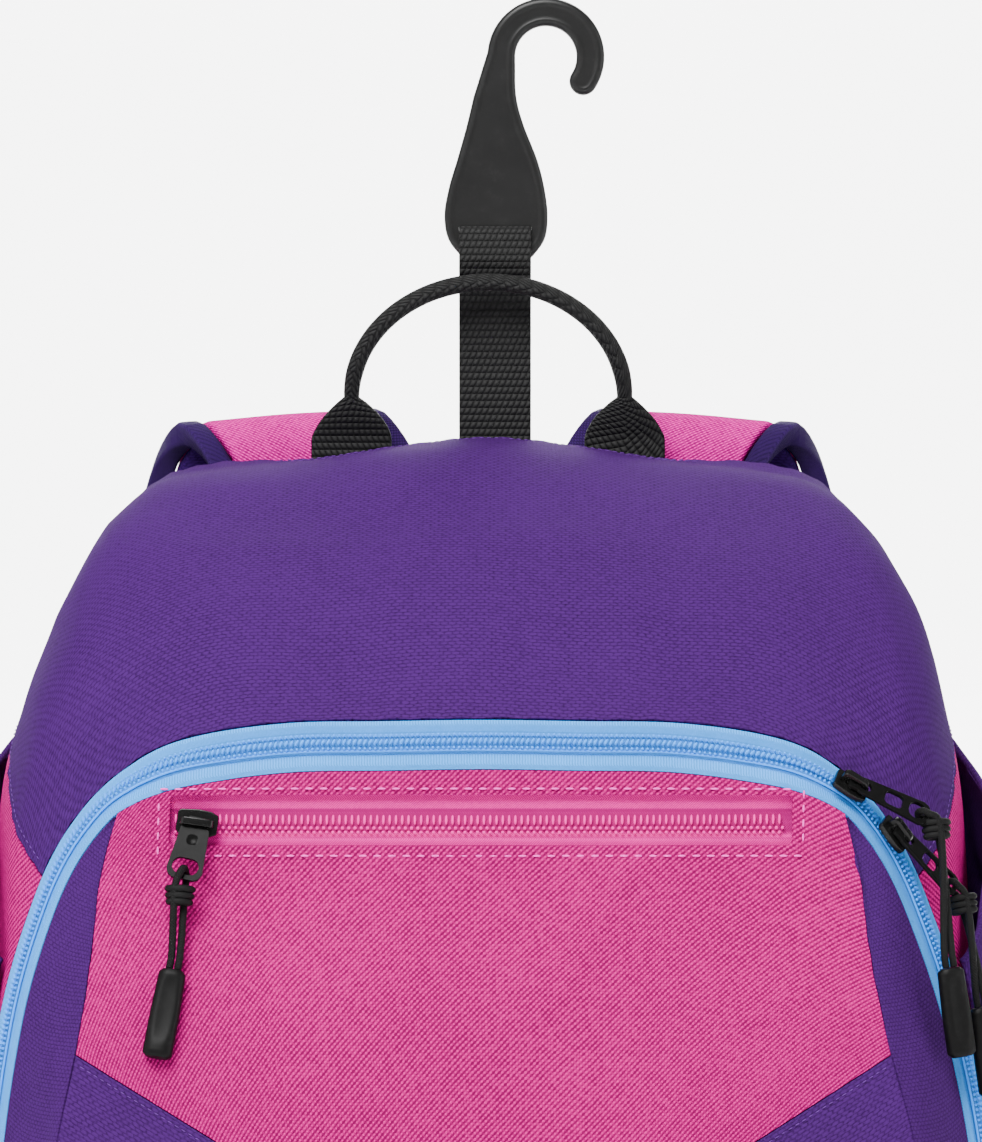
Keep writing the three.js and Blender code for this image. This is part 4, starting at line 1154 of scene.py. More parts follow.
class BAG_OT_stage(bpy.types.Operator):
    """Adds the floor, the lights and the camera"""

    bl_idname = "bat_bag.stage"
    bl_label = "Stage"

    def execute(self, context):
        settings = context.scene.bat_bag_stage
        target = Vector((0.001, 0, 0.4274))
        tilt = settings.elevation
        back = Vector((0, -math.cos(tilt), math.sin(tilt))) * settings.distance
        bpy.ops.object.camera_add(location=target + back, rotation=(math.pi / 2 - tilt, 0, 0))
        camera = context.object
        camera.data.sensor_fit = "HORIZONTAL"
        camera.data.angle = 2 * math.atan(0.329 / 2 / settings.distance)
        context.scene.camera = camera
        bpy.ops.mesh.primitive_plane_add(size=16, location=(0, 0, 0))
        floor = context.object
        floor.name = "floor"
        in_edit_mode(floor, self.raise_back)
        modify(floor, "BEVEL", width=0.8, segments=12, limit_method="ANGLE")
        smooth(floor)
        f = Finish("backdrop")
        dust = f.noise(300, 3)
        tint = f.dimmed(linear(settings.backdrop), 0.98 + dust * 0.04)
        floor.data.materials.append(f.done(tint, 0.95, Specular_IOR_Level=0.1))
        self.add_light("key", (-0.5, -1.3, 2.1), (34, -10, 0), 1.3, settings.key)
        self.add_light("fill_left", (-1.9, -0.9, 0.9), (75, 0, -64), 1.4, settings.fill)
        self.add_light("fill_right", (1.9, -0.6, 0.8), (77, 0, 70), 1.4, settings.fill * 1.8)
        self.add_light("wall_left", (-1.6, 3.4, 3.6), (48, 0, -8), 2.0, settings.wall)
        self.add_light("wall_right", (1.6, 3.4, 3.6), (48, 0, 8), 2.0, settings.wall)
        self.add_light("back", (0.6, 2.2, 2.6), (-40, 8, 0), 1.2, settings.back)
        world = context.scene.world or bpy.data.worlds.new("studio")
        context.scene.world = world
        world.use_nodes = True
        sky = world.node_tree.nodes["Background"]
        sky.inputs["Color"].default_value = (1, 1, 1, 1)
        sky.inputs["Strength"].default_value = settings.sky
        return {"FINISHED"}

    @staticmethod
    def raise_back():
        """Extrudes the floor's rear edge up into a backdrop."""
        bpy.ops.object.mode_set(mode="OBJECT")
        mesh = bpy.context.object.data
        for part in (*mesh.vertices, *mesh.edges, *mesh.polygons):
            part.select = False
        for edge in mesh.edges:
            edge.select = all(mesh.vertices[v].co.y > 1 for v in edge.vertices)
        bpy.ops.object.mode_set(mode="EDIT")
        bpy.ops.mesh.select_mode(type="EDGE")
        bpy.ops.transform.translate(value=(0, -1.5, 0))
        bpy.ops.mesh.extrude_region_move(TRANSFORM_OT_translate={"value": (0, 0, 5)})

    @staticmethod
    def add_light(name, place, turn, size, power):
        bpy.ops.object.light_add(type="AREA", location=place, rotation=[math.radians(a) for a in turn])
        light = bpy.context.object
        light.name = name
        light.data.size = size
        light.data.energy = power


# Zip pulls


def placed(piece, columns, origin):
    """Moves a piece's mesh from the origin to a place, in millimetres."""
    matrix = Matrix.Identity(4)
    for k, column in enumerate(columns):
        for row in range(3):
            matrix[row][k] = column[row]
    for row in range(3):
        matrix[row][3] = origin[row] * MM
    piece.data.transform(matrix)
    piece.data.update()
    return piece


def block(name, size, centre, bevel=0.0, segments=3):
    """A box with rounded edges, in millimetres."""
    deselect()
    bpy.ops.mesh.primitive_cube_add(size=1)
    piece = bpy.context.object
    piece.name = piece.data.name = name
    set_vertices(piece.data, (vertex_array(piece.data) * np.array(size) + np.array(centre)) * MM)
    if bevel:
        modify(piece, "BEVEL", width=bevel * MM, segments=segments)
    return piece


def plate(name, outline, thickness, bevel=0.0, y=0.0, segments=2):
    """An upright plate from an outline in X and Z, in millimetres, centred on a depth."""
    deselect()
    bpy.ops.mesh.primitive_circle_add(vertices=len(outline), radius=1, fill_type="NGON")
    piece = bpy.context.object
    piece.name = piece.data.name = name
    flat = [(x, y - thickness / 2, z) for x, z in outline]
    set_vertices(piece.data, np.array(flat) * MM)

    def extrude():
        move = {"value": (0, thickness * MM, 0)}
        bpy.ops.mesh.extrude_region_move(TRANSFORM_OT_translate=move)

    in_edit_mode(piece, extrude, turn_faces_out)
    if bevel:
        edges = {"limit_method": "ANGLE", "angle_limit": 0.7}
        modify(piece, "BEVEL", width=bevel * MM, segments=segments, **edges)
    return piece


def cut(piece, tool):
    """Takes a tool's shape out of a piece."""
    modify(piece, "BOOLEAN", operation="DIFFERENCE", object=tool, solver="EXACT")
    bpy.data.objects.remove(tool)
    return piece


def rounded_outline(width, height, radius, centre=(0, 0)):
    return [(a + centre[0], b + centre[1]) for a, b in rounded_section(width, height, radius, 5)]


def slider_piece(name, length, lift):
    """A slider: its body with a waist, two legs and the bridge that the tab hangs on."""
    width, thick = 9, 2.2
    outline = []
    for x, half in ((-0.5, 0.36), (-0.42, 0.44), (0, 0.5), (0.3, 0.47), (0.5, 0.34)):
        outline.append((x * length, half * width))
    outline += [(x, -z) for x, z in reversed(outline)]
    body = plate(name, outline[::-1], thick, 0.5, -lift - thick / 2)
    bridge_y = -lift - thick - 1.2 - 1.4
    half_span = (length - 2.5) / 2
    arch = [
        (-half_span, -lift - thick + 0.6),
        (-half_span + 0.2, bridge_y - 0.6),
        (-half_span + 1.6, bridge_y - 1.7),
        (half_span - 1.6, bridge_y - 1.7),
        (half_span - 0.2, bridge_y - 0.6),
        (half_span, -lift - thick + 0.6),
    ]
    inner = [
        (half_span - 1.8, -lift - thick + 0.6),
        (half_span - 1.9, bridge_y),
        (-half_span + 1.9, bridge_y),
        (-half_span + 1.8, -lift - thick + 0.6),
    ]
    bridge = plate(name + " bridge", arch + inner, 2.4, 0.35)
    places = vertex_array(bridge.data)
    set_vertices(bridge.data, places[:, [0, 2, 1]])
    in_edit_mode(bridge, turn_faces_out)
    guide = block(name + " guide", (length * 0.5, 0.8, 1.6), (0.6, -lift - thick - 0.3, 0), 0.3)
    return joined(name, [body, bridge, guide])


def tab_piece(name, length, top_half, low_half):
    """A pull tab that widens to its foot, with a window for the cord and an upper window or a dimple."""
    neck = 2.95
    right = [
        (neck - 0.5, 1.6),
        (neck, 1.2),
        (neck, -1.4),
        (top_half - 0.6, -1.9),
        (top_half, -2.6),
        (low_half, -length + 2.8),
        (low_half - 0.8, -length + 0.9),
        (low_half - 2.4, -length),
    ]
    tab = plate(name, [(-x, z) for x, z in right] + right[::-1], 1.4)
    foot = -length + 1.6
    wide = 2 * low_half - 3.2
    cut(tab, plate("window", rounded_outline(wide, 5.6, 2.6, (0, foot + 2.8)), 6))
    if length > 22:
        cut(tab, plate("eye", rounded_outline(3.6, 4, 1.4, (0, -4)), 6))
        cut(tab, plate("upper window", rounded_outline(wide - 1.2, 6.2, 1.8, (0, foot + 11.2)), 6))
    else:
        deselect()
        bpy.ops.mesh.primitive_uv_sphere_add(segments=32, ring_count=16, radius=3.9 * MM)
        dimple = bpy.context.object
        dimple.data.transform(Matrix.Translation(Vector((0, -4, -6.4)) * MM))
        cut(tab, dimple)
    modify(tab, "BEVEL", width=0.3 * MM, segments=2, limit_method="ANGLE", angle_limit=0.6)
    return tab


def grip_piece(name):
    """A rubber grip: a rounded bar with an oval flat on its front."""
    stations = 26
    loops = []
    section = rounded_section(1, 1, 0.42, 6)
    for i in range(stations + 1):
        share = i / stations
        z = lerp(14.5, -14.5, share)
        end = min(share, 1 - share) * 29
        tuck = math.sqrt(clamp(1 - (1 - min(end / 1.6, 1)) ** 2)) * 0.25 + 0.75
        swell = lerp(0.9, 1.0, clamp(share * 2))
        oval = clamp(1 - ((z - 1) / 10.5) ** 2) ** 0.5
        loop = []
        for a, b in section:
            x = a * 9.6 * swell * tuck
            y = b * 6 * tuck
            if b < 0:
                y = max(y, -3 + 0.9 * oval * clamp(1 - abs(a) * 1.4))
            loop.append((x, y, z))
        loops.append(loop)
    grip = tube(name, loops)
    smooth(grip, 40)
    return grip


class BAG_OT_zip_pulls(bpy.types.Operator):
    """Adds the sliders, tabs, cords and grips of the three zip pulls"""

    bl_idname = "bat_bag.zip_pulls"
    bl_label = "Zip pulls"

    def execute(self, context):
        for name, spec in PULLS.items():
            grip = placed(grip_piece(name + " grip"), spec["grip"], spec["grip_at"])
            finish_piece(grip, material("black rubber"), "black_rubber", name + "_grip")
            grip.name = name + "_rubber_grip"
            knot = self.knot(name, spec)
            self.cord(name, spec, [grip, knot])
            sizes = spec["sizes"]
            slider = slider_piece(name + "_metal_slider", sizes["slider_length"], sizes["lift"])
            polished(slider, 35)
            placed(slider, spec["slider"], spec["slider_at"])
            finish_piece(slider, material("black metal"), "black_metal", name + "_slider")
            tab = tab_piece(name + "_metal_tab", sizes["tab_length"], *sizes["tab_halves"])
            polished(tab, 35)
            placed(tab, spec["tab"], spec["tab_at"])
            finish_piece(tab, material("tab metal"), "black_metal", name + "_tab")
        return {"FINISHED"}

    @staticmethod
    def cord(name, spec, pieces):
        line = Spline(spec["route"])
        steps, sides = 90, 10
        path = [line.at(i / steps) for i in range(steps + 1)]
        loops = []
        normal = np.array((1.0, 0, 0))
        for i, centre in enumerate(path):
            along = line.tangent(i / steps)
            normal = normal - np.dot(normal, along) * along
            normal /= np.linalg.norm(normal)
            other = np.cross(along, normal)
            loops.append(
                [
                    centre + (normal * math.cos(a) + other * math.sin(a)) * CORD_DIAMETER / 2
                    for a in np.linspace(0, 2 * math.pi, sides, endpoint=False)
                ]
            )
        cord = tube(name + "_braided_cord", loops)
        smooth(cord)
        finish_piece(cord, material("cord"), "black_webbing", name + "_cord")

    @staticmethod
    def knot(name, spec):
        """Turns of the cord around its two runs, just under the tab."""
        route = np.array(spec["route"])
        near = (route[2] + route[8]) / 2
        far = (route[1] + route[9]) / 2
        along = (far - near) / np.linalg.norm(far - near)
        turns = []
        for k, shift in enumerate((1.0, 3.2, 5.2)):
            deselect()
            bpy.ops.mesh.primitive_torus_add(
                major_segments=28,
                minor_segments=10,
                major_radius=(3.3 - 0.25 * k) * MM,
                minor_radius=1.15 * MM,
            )
            turn = bpy.context.object
            tilt = np.array((0.22 if k % 2 else -0.22, 0, 0))
            matrix = placement(near + along * shift, np.cross(along, (0, 1, 0.01)), along + tilt)
            turn.data.transform(Matrix.Diagonal((1.15, 0.85, 1, 1)))
            turn.data.transform(Matrix(matrix * np.array([[1, 1, 1, MM]] * 3 + [[1, 1, 1, 1]])))
            turns.append(turn)
        knot = joined(name + "_knot", turns)
        smooth(knot)
        return finish_piece(knot, material("cord"), "black_webbing")


# The bag's cloth panels


class BAG_OT_body(bpy.types.Operator):
    """Adds the top and side panels"""

    bl_idname = "bat_bag.body"
    bl_label = "Top and sides"

    def execute(self, context):
        s = sewing()
        top = grid_of(46, 150, top_point)
        fade = edge_fade(top, 0.12)
        relief = fade * (billow(top, 70, s.folds, 2) + creases(top, 95, s.folds * 0.35, 5))
        relief += fade * (hollow(top, (-61, 383), (34, 20), 2.6) + hollow(top, (76, 386), (40, 22), 3.4))
        relief += fade * (hollow(top, (118, 402), (20, 30), 2.4) + hollow(top, (-120, 398), (22, 26), 2.2))
        relief += puckers(top, "b", 13, s.gathers, 9) + puckers(top, "t", 11, s.gathers * 0.7, 7)
        relief += puckers(top, "l", 9, s.gathers, 7) + puckers(top, "r", 10, s.gathers, 7)
        piece = cloth("top_cloth", top, relief)
        finish_piece(piece, material("purple cloth"), "purple_cloth", "top_panel")
        side = grid_of(40, 60, side_point)
        for name, sign in (("right", 1), ("left", -1)):
            grid = side * np.array((sign, 1, 1))
            fade = edge_fade(grid, 0.12)
            relief = fade * billow(grid, 60, s.folds * 0.8, 11 + sign)
            relief += puckers(grid, "l", 10, s.gathers * 0.8, 8)
            piece = cloth(f"side_cloth_{name}", grid, relief)
            finish_piece(piece, material("side pink cloth"), "pink_cloth", f"side_panel_{name}")
        return {"FINISHED"}


def welt(outside):
    """Height of the folded edge at a distance from the pocket's window, and the dent that stitches pull."""
    return 0.5 * np.exp(-((outside - 1.4) ** 2) / 2) - 0.4 * np.exp(-((outside - 3.4) ** 2) / 0.8)


class BAG_OT_flap(bpy.types.Operator):
    """Adds the flap's pink and purple panels and its gussets"""

    bl_idname = "bat_bag.flap"
    bl_label = "Flap"

    def execute(self, context):
        self.upper()
        self.lower()
        self.gussets()
        return {"FINISHED"}

    @staticmethod
    def upper():
        s = sewing()
        inset = 1 - GAP / CORNER[0]
        grid = grid_of(56, 140, lambda v, w: pink_face(lerp(-inset, inset, w), v))
        fade = edge_fade(grid, 0.1)
        relief = fade * (billow(grid, 80, s.folds * 0.9, 21) + creases(grid, 70, s.folds * 0.4, 23))
        x, z = grid[:, :, 0], grid[:, :, 2]
        from_middle = z - POCKET_Z - (POCKET_ABOVE - POCKET_BELOW) / 2
        half_high = (POCKET_ABOVE + POCKET_BELOW) / 2
        outside = np.maximum(np.abs(x) - POCKET_HALF, np.abs(from_middle) - half_high)
        relief *= np.clip(outside / 14, 0, 1)
        relief += welt(np.maximum(outside, 0))
        relief += puckers(grid, "b", 12, s.gathers * 0.8, 8)
        relief += puckers(grid, "r", 16, s.gathers * 1.5, 15) + puckers(grid, "l", 18, s.gathers, 13)
        piece = cloth("flap_pink_cloth", grid, relief)
        middle = (0, (POCKET_ABOVE - POCKET_BELOW) / 2)
        outline = rounded_outline(2 * POCKET_HALF, POCKET_ABOVE + POCKET_BELOW, 1.5, middle)
        window = plate("window", outline, 60)
        mesh = window.data
        places = vertex_array(mesh) + np.array((0, FLAP_FRONT_Y, POCKET_Z)) * MM
        places[:, 0] += lean_at(places[:, 2] / MM) * MM
        set_vertices(mesh, places)
        cut(piece, window)
        smooth(piece, 50)
        finish_piece(piece, material("pink cloth"), "pink_cloth", "flap_panel_upper")

    @staticmethod
    def lower():
        s = sewing()
        inset = 1 - GAP / CORNER[0]

        def point(v, w):
            u = lerp(-inset, inset, w)
            z = lerp(seam_height(u) - 1.4 * GAP, BASE_TOP, v)
            return flap_face(u, z, lerp(seam_height(1), BASE_TOP, v))

        grid = grid_of(70, 110, point)
        fade = edge_fade(grid, 0.1)
        relief = fade * (billow(grid, 85, s.folds, 31) + creases(grid, 90, s.folds * 0.4, 33))
        relief += puckers(grid, "t", 12, s.gathers, 9) + puckers(grid, "b", 14, s.gathers, 9)
        piece = cloth("flap_purple_cloth", grid, relief)
        finish_piece(piece, material("lower purple cloth"), "purple_cloth", "flap_panel_lower")

    @staticmethod
    def gussets():
        s = sewing()

        def between(v):
            rear = tape_point(lerp(CORNER_PLACE, 1, v), -TAPE_WIDTH / 2)
            front = FLAP_SIDE.at(v)
            return rear, front, np.linalg.norm(rear - front)

        start = 0.0
        while between(start)[2] < 6 * GAP:
            start += 0.002

        def point(a, w):
            rear, front, width = between(lerp(start, 1, a))
            return rear + (front - rear) * lerp(2 * GAP / width, 1 - GAP / width, w)

        base = grid_of(90, 14, point)
        for name, sign in (("right", 1), ("left", -1)):
            grid = base * np.array((sign, 1, 1))
            fade = edge_fade(grid, 0.3, "lr")
            relief = fade * billow(grid, 45, s.folds * 0.8, 41 + sign)
            piece = cloth(f"gusset_cloth_{name}", grid, relief)
            finish_piece(piece, material("purple cloth"), "purple_cloth", f"flap_gusset_{name}")


class BAG_OT_sleeves(bpy.types.Operator):
    """Adds the bat sleeves with their bound mouths"""

    bl_idname = "bat_bag.sleeves"
    bl_label = "Bat sleeves"

    def execute(self, context):
        s = sewing()

        def skin(a, w):
            t = lerp(*SLEEVE_REACH, a)
            top = ring_place(t, height_along(SLEEVE_HEIGHTS, t))
            bottom = ring_place(t, height_at(SLEEVE_BOTTOM))
            return ring_at(t).at_length(lerp(top, bottom, w))

        base = grid_of(40, 60, skin)
        normals = grid_normals(base)
        normals *= np.sign(normals[:, :, :1].mean())
        a = np.linspace(0, 1, 41)[:, None]
        w = np.linspace(0, 1, 61)[None, :]
        across = np.sin(math.pi * a) ** 0.6
        low = np.cos(np.clip((w - 0.25) / 0.75, 0, 1) * math.pi / 2) ** 0.5
        along = np.where(w < 0.25, 0.62 + 0.38 * w / 0.25, low)
        stand = SLEEVE_SEAT + WALL + SLEEVE_ROOM * across * along
        shell = base + normals * stand[:, :, None]
        for name, sign in (("right", 1), ("left", -1)):
            grid = shell * np.array((sign, 1, 1))
            fade = edge_fade(grid, 0.15, "tbr")
            relief = fade * (billow(grid, 50, s.folds, 51 + sign) + creases(grid, 60, s.folds * 0.5, 53))
            piece = cloth(f"sleeve_cloth_{name}", grid, relief)
            edge = grid[:, 0] + np.array((lean_at(grid[:, 0, 2]), 0 * a[:, 0], 0 * a[:, 0])).T
            hem = self.hem(f"sleeve_hem_{name}", edge, sign)
            whole = joined(f"sleeve_cloth_{name}", [piece, hem])
            finish_piece(whole, material("lower purple cloth"), "purple_cloth", f"bat_sleeve_{name}")
        return {"FINISHED"}

    @staticmethod
    def hem(name, edge, sign):
        """A rolled hem along the mouth."""
        loops = []
        for i, centre in enumerate(edge):
            along = edge[min(i + 1, len(edge) - 1)] - edge[max(i - 1, 0)]
            along /= np.linalg.norm(along)
            side = np.array((sign, 0, 0))
            side = side - np.dot(side, along) * along
            side /= np.linalg.norm(side)
            up = np.cross(along, side)
            middle = centre - side * WALL / 2
            turns = np.linspace(0, 2 * math.pi, 10, endpoint=False)
            loops.append([middle + side * 1.15 * math.cos(t) + up * 1.7 * math.sin(t) for t in turns])
        piece = tube(name, loops)
        smooth(piece)
        return piece


class BAG_OT_flap_zip(bpy.types.Operator):
    """Adds the flap zip's tape and teeth"""

    bl_idname = "bat_bag.flap_zip"
    bl_label = "Flap zip"

    def execute(self, context):
        s = sewing()
        shares = np.linspace(-0.5, 0.5, 25)
        folds = 0.35 * np.exp(-((np.abs(shares + 0.02) - 0.4) ** 2) / 0.006)
        folds -= 0.5 * np.exp(-((shares - 0.17) ** 2) / 0.001)
        folds -= 0.4 * np.exp(-((shares + 0.12) ** 2) / 0.001)
        rows = 440
        grid = np.array(
            [[tape_point(i / rows, -share * TAPE_WIDTH) for share in shares] for i in range(rows + 1)]
        )
        normals = np.array([zip_frame(i / rows)[3] for i in range(rows + 1)])
        raised = grid + normals[:, None, :] * folds[None, :, None]
        raised[:, :, 0] += lean_at(raised[:, :, 2])
        tape = shaped_grid("flap_zip_blue_tape", raised)
        turned_out(tape, (0, 0.02, 0.2))
        modify(tape, "SOLIDIFY", thickness=1.2 * MM, offset=-1)
        smooth(tape, 60)
        finish_piece(tape, material("blue tape"), "blue_tape", "flap_zip_tape")
        slanted = bead(2.3, s.flap_tooth * 0.62, 1.5)
        rows = (
            (slanted, 1.25, 1.45, 0.55),
            (bead(1.0, s.flap_tooth * 0.6, 1.2), -0.9, 1.35, 0.0),
            (bead(1.0, s.flap_tooth * 0.6, 0.9), 3.4, 0.95, 0.5),
        )
        teeth = [self.row_of_teeth(s.flap_tooth, *row) for row in rows]
        groove = self.groove(-1.75)
        whole = joined("flap_zip_teeth", [*teeth, groove])
        finish_piece(whole, material("blue coil"), "blue_coil", "flap_zip_coil")
        return {"FINISHED"}

    @staticmethod
    def row_of_teeth(pitch, template, offset, lift, slant):
        """One row of teeth along the zip; slant leans them along it."""
        count = int(ZIP_LINE.length() * 0.956 / pitch)
        places = []
        for k in range(count):
            share = ZIP_LINE.share_of_length(lerp(0.022, 0.978, k / count))
            centre, along, across, facing = zip_frame(share)
            place = centre + across * offset + facing * lift
            place[2] = max(place[2], BASE_TOP + 1)
            place[0] += lean_at(place[2])
            places.append(placement(place, across + along * slant, facing))
        return repeated("teeth", template, places)

    @staticmethod
    def groove(offset):
        """The cord along the coil's lower side."""
        loops = []
        for i in range(401):
            centre, along, across, facing = zip_frame(lerp(0.02, 0.98, i / 400))
            middle = centre + across * offset + facing * 0.55
            middle[2] = max(middle[2], BASE_TOP + 1)
            middle[0] += lean_at(middle[2])
            turns = np.linspace(0, 2 * math.pi, 8, endpoint=False)
            loops.append([middle + across * 0.4 * math.cos(t) + facing * 0.4 * math.sin(t) for t in turns])
        piece = tube("groove", loops)
        smooth(piece)
        return piece


class BAG_OT_pocket_zip(bpy.types.Operator):
    """Adds the small pocket's zip in its window"""

    bl_idname = "bat_bag.pocket_zip"
    bl_label = "Pocket zip"

    def execute(self, context):
        s = sewing()
        heights = np.linspace(POCKET_ABOVE + 2, -POCKET_BELOW - 2.3, 24)
        columns = np.linspace(-POCKET_HALF - 3.5, POCKET_HALF + 3.5, 130)
        ridge = 0.5 * np.exp(-((heights + 4.6) ** 2) / 2.5) + 0.35 * np.exp(-((heights - 6) ** 2) / 2.5)
        ridge -= 0.3 * np.exp(-((heights + 3) ** 2) / 0.8)
        grid = np.array([[pink_face_at(x, POCKET_Z + high) for x in columns] for high in heights])
        grid += outward_normals(grid) * (ridge[:, None, None] - WALL - 3 * GAP)
        grid[:, :, 0] += lean_at(grid[:, :, 2])
        tape = turned_out(shaped_grid("pocket_zip_pink_tape", grid))
        modify(tape, "SOLIDIFY", thickness=0.8 * MM, offset=-1)
        smooth(tape, 60)
        finish_piece(tape, material("pink tape"), "pink_tape", "pocket_zip_tape")
        bar = bead(3.6, s.pocket_tooth * 0.52, 1.6)
        rows = ((bar, 1.7, 0.0), (bead(1.2, 1.25, 1.3), -1.1, 0.5), (bead(1.2, 1.25, 1.3), -2.6, 0.0))
        teeth = joined("pocket_zip_teeth", [self.row_of_teeth(s.pocket_tooth, *row) for row in rows])
        finish_piece(teeth, material("pink coil"), "pink_coil", "pocket_zip_coil")
        return {"FINISHED"}

    @staticmethod
    def row_of_teeth(pitch, template, offset, shift):
        """One straight row of teeth along the pocket's zip."""
        count = int(2 * (POCKET_HALF - 2) / pitch)
        places = []
        for k in range(count):
            x = lerp(-POCKET_HALF + 2, POCKET_HALF - 2, (k + shift) / count)
            centre, above = pink_face_at(x, POCKET_Z), pink_face_at(x, POCKET_Z + 3)
            up = (above - centre) / np.linalg.norm(above - centre)
            facing = np.cross((1, 0, 0), up)
            facing *= -np.sign(facing[1]) / np.linalg.norm(facing)
            place = centre + up * offset + facing * (-WALL - GAP + 0.35)
            place[0] += lean_at(place[2])
            places.append(placement(place, up, facing))
        return repeated("teeth", template, places)


class BAG_OT_stitches(bpy.types.Operator):
    """Adds the rows of stitches along the seams"""

    bl_idname = "bat_bag.stitches"
    bl_label = "Stitches"

    def execute(self, context):
        s = sewing()
        pink = self.pocket_frame(s.stitch)
        teeth = repeated("pocket_stitches", bead(s.stitch * 0.6, 0.85, 0.8), pink)
        finish_piece(teeth, material("pink thread"), "strap_pink")
        fine = s.stitch * 0.55
        purple = self.crest(fine) + self.side_seams(fine) + self.colour_seam(fine)
        seams = repeated("seam_stitches", bead(fine * 0.62, 0.42, 0.4), purple)
        finish_piece(seams, material("purple thread"), "purple_cloth")
        return {"FINISHED"}

    @staticmethod
    def on_grid(point_at, places, lift=0.15, extra=lambda p: 0.0):
        """Points and normals just above a surface at pairs of shares."""
        line, normals = [], []
        for a, b in places:
            p = point_at(a, b)
            da = point_at(clamp(a + 0.01), b) - point_at(clamp(a - 0.01), b)
            db = point_at(a, clamp(b + 0.01)) - point_at(a, clamp(b - 0.01))
            n = np.cross(da, db)
            n /= max(np.linalg.norm(n), 1e-9)
            if np.dot(n, p - np.array((0, 0, 220))) < 0:
                n = -n
            p = p + n * (lift + extra(p))
            p[0] += lean_at(p[2])
            line.append(p)
            normals.append(n)
        return line, normals

    def pocket_frame(self, pitch):
        side, top, low = POCKET_HALF + 3.6, POCKET_ABOVE + 2, -POCKET_BELOW - 3.3
        corners = [(-side, top), (side, top), (side, low), (-side, low), (-side, top)]
        places = []
        for (xa, za), (xb, zb) in zip(corners, corners[1:]):
            line, normals = [], []
            for k in range(41):
                x, z = lerp(xa, xb, k / 40), POCKET_Z + lerp(za, zb, k / 40)
                p = pink_face_at(x, z)
                up = pink_face_at(x, z + 1) - p
                n = np.cross(up, (1, 0, 0))
                n /= np.linalg.norm(n)
                n *= -np.sign(n[1])
                outside = max(abs(x) - POCKET_HALF, z - POCKET_Z - POCKET_ABOVE, POCKET_Z - POCKET_BELOW - z)
                p = p + n * (welt(outside) + 0.3)
                p[0] += lean_at(p[2])
                line.append(p)
                normals.append(n)
            places += stitch_line(line, normals, pitch)
        return places

    def crest(self, pitch):
        places = []
        for t in (0.02, 0.055):
            shares = [(t, w) for w in np.linspace(0.3, 0.7, 60)]
            places += stitch_line(*self.on_grid(top_point, shares, 0.25), pitch)
        return places

    def side_seams(self, pitch):
        places = []
        for w in (0.008, 0.992):
            shares = [(t, w) for t in np.linspace(0.02, 0.98, 50)]
            places += stitch_line(*self.on_grid(top_point, shares, 0.25), pitch)
        return places

    def colour_seam(self, pitch):
        places = []
        for sign in (-1, 1):
            line, normals = [], []
            for u in np.linspace(0.01, 0.99, 50):
                z = seam_height(u) - 2.6
                share = (seam_height(u) - z) / (seam_height(u) - BASE_TOP)
                p = flap_face(sign * u, z, lerp(seam_height(1), BASE_TOP, share))
                line.append(p + np.array((lean_at(p[2]), -0.25, 0)))
                normals.append((0, -1, 0.15))
            places += stitch_line(line, normals, pitch)
        return places


def inflated(piece, pressure, reach, held):
    """Swells a closed skin with air; held points stay, and no point moves further than reach."""
    before = vertex_array(piece.data)
    sewn = piece.vertex_groups.new(name="sewn")
    sewn.add([int(i) for i in np.flatnonzero(held)], 1.0, "REPLACE")
    only(piece)
    swell = piece.modifiers.new("Air", "CLOTH")
    swell.settings.use_pressure = True
    swell.settings.uniform_pressure_force = pressure
    swell.settings.vertex_group_mass = "sewn"
    swell.settings.effector_weights.gravity = 0
    for step in range(1, 21):
        bpy.context.scene.frame_set(step)
    bpy.ops.object.modifier_apply(modifier=swell.name)
    bpy.context.scene.frame_set(1)
    moved = vertex_array(piece.data) - before
    far = np.linalg.norm(moved, axis=1, keepdims=True)
    set_vertices(piece.data, before + moved * np.minimum(1, reach * MM / np.maximum(far, 1e-9)))


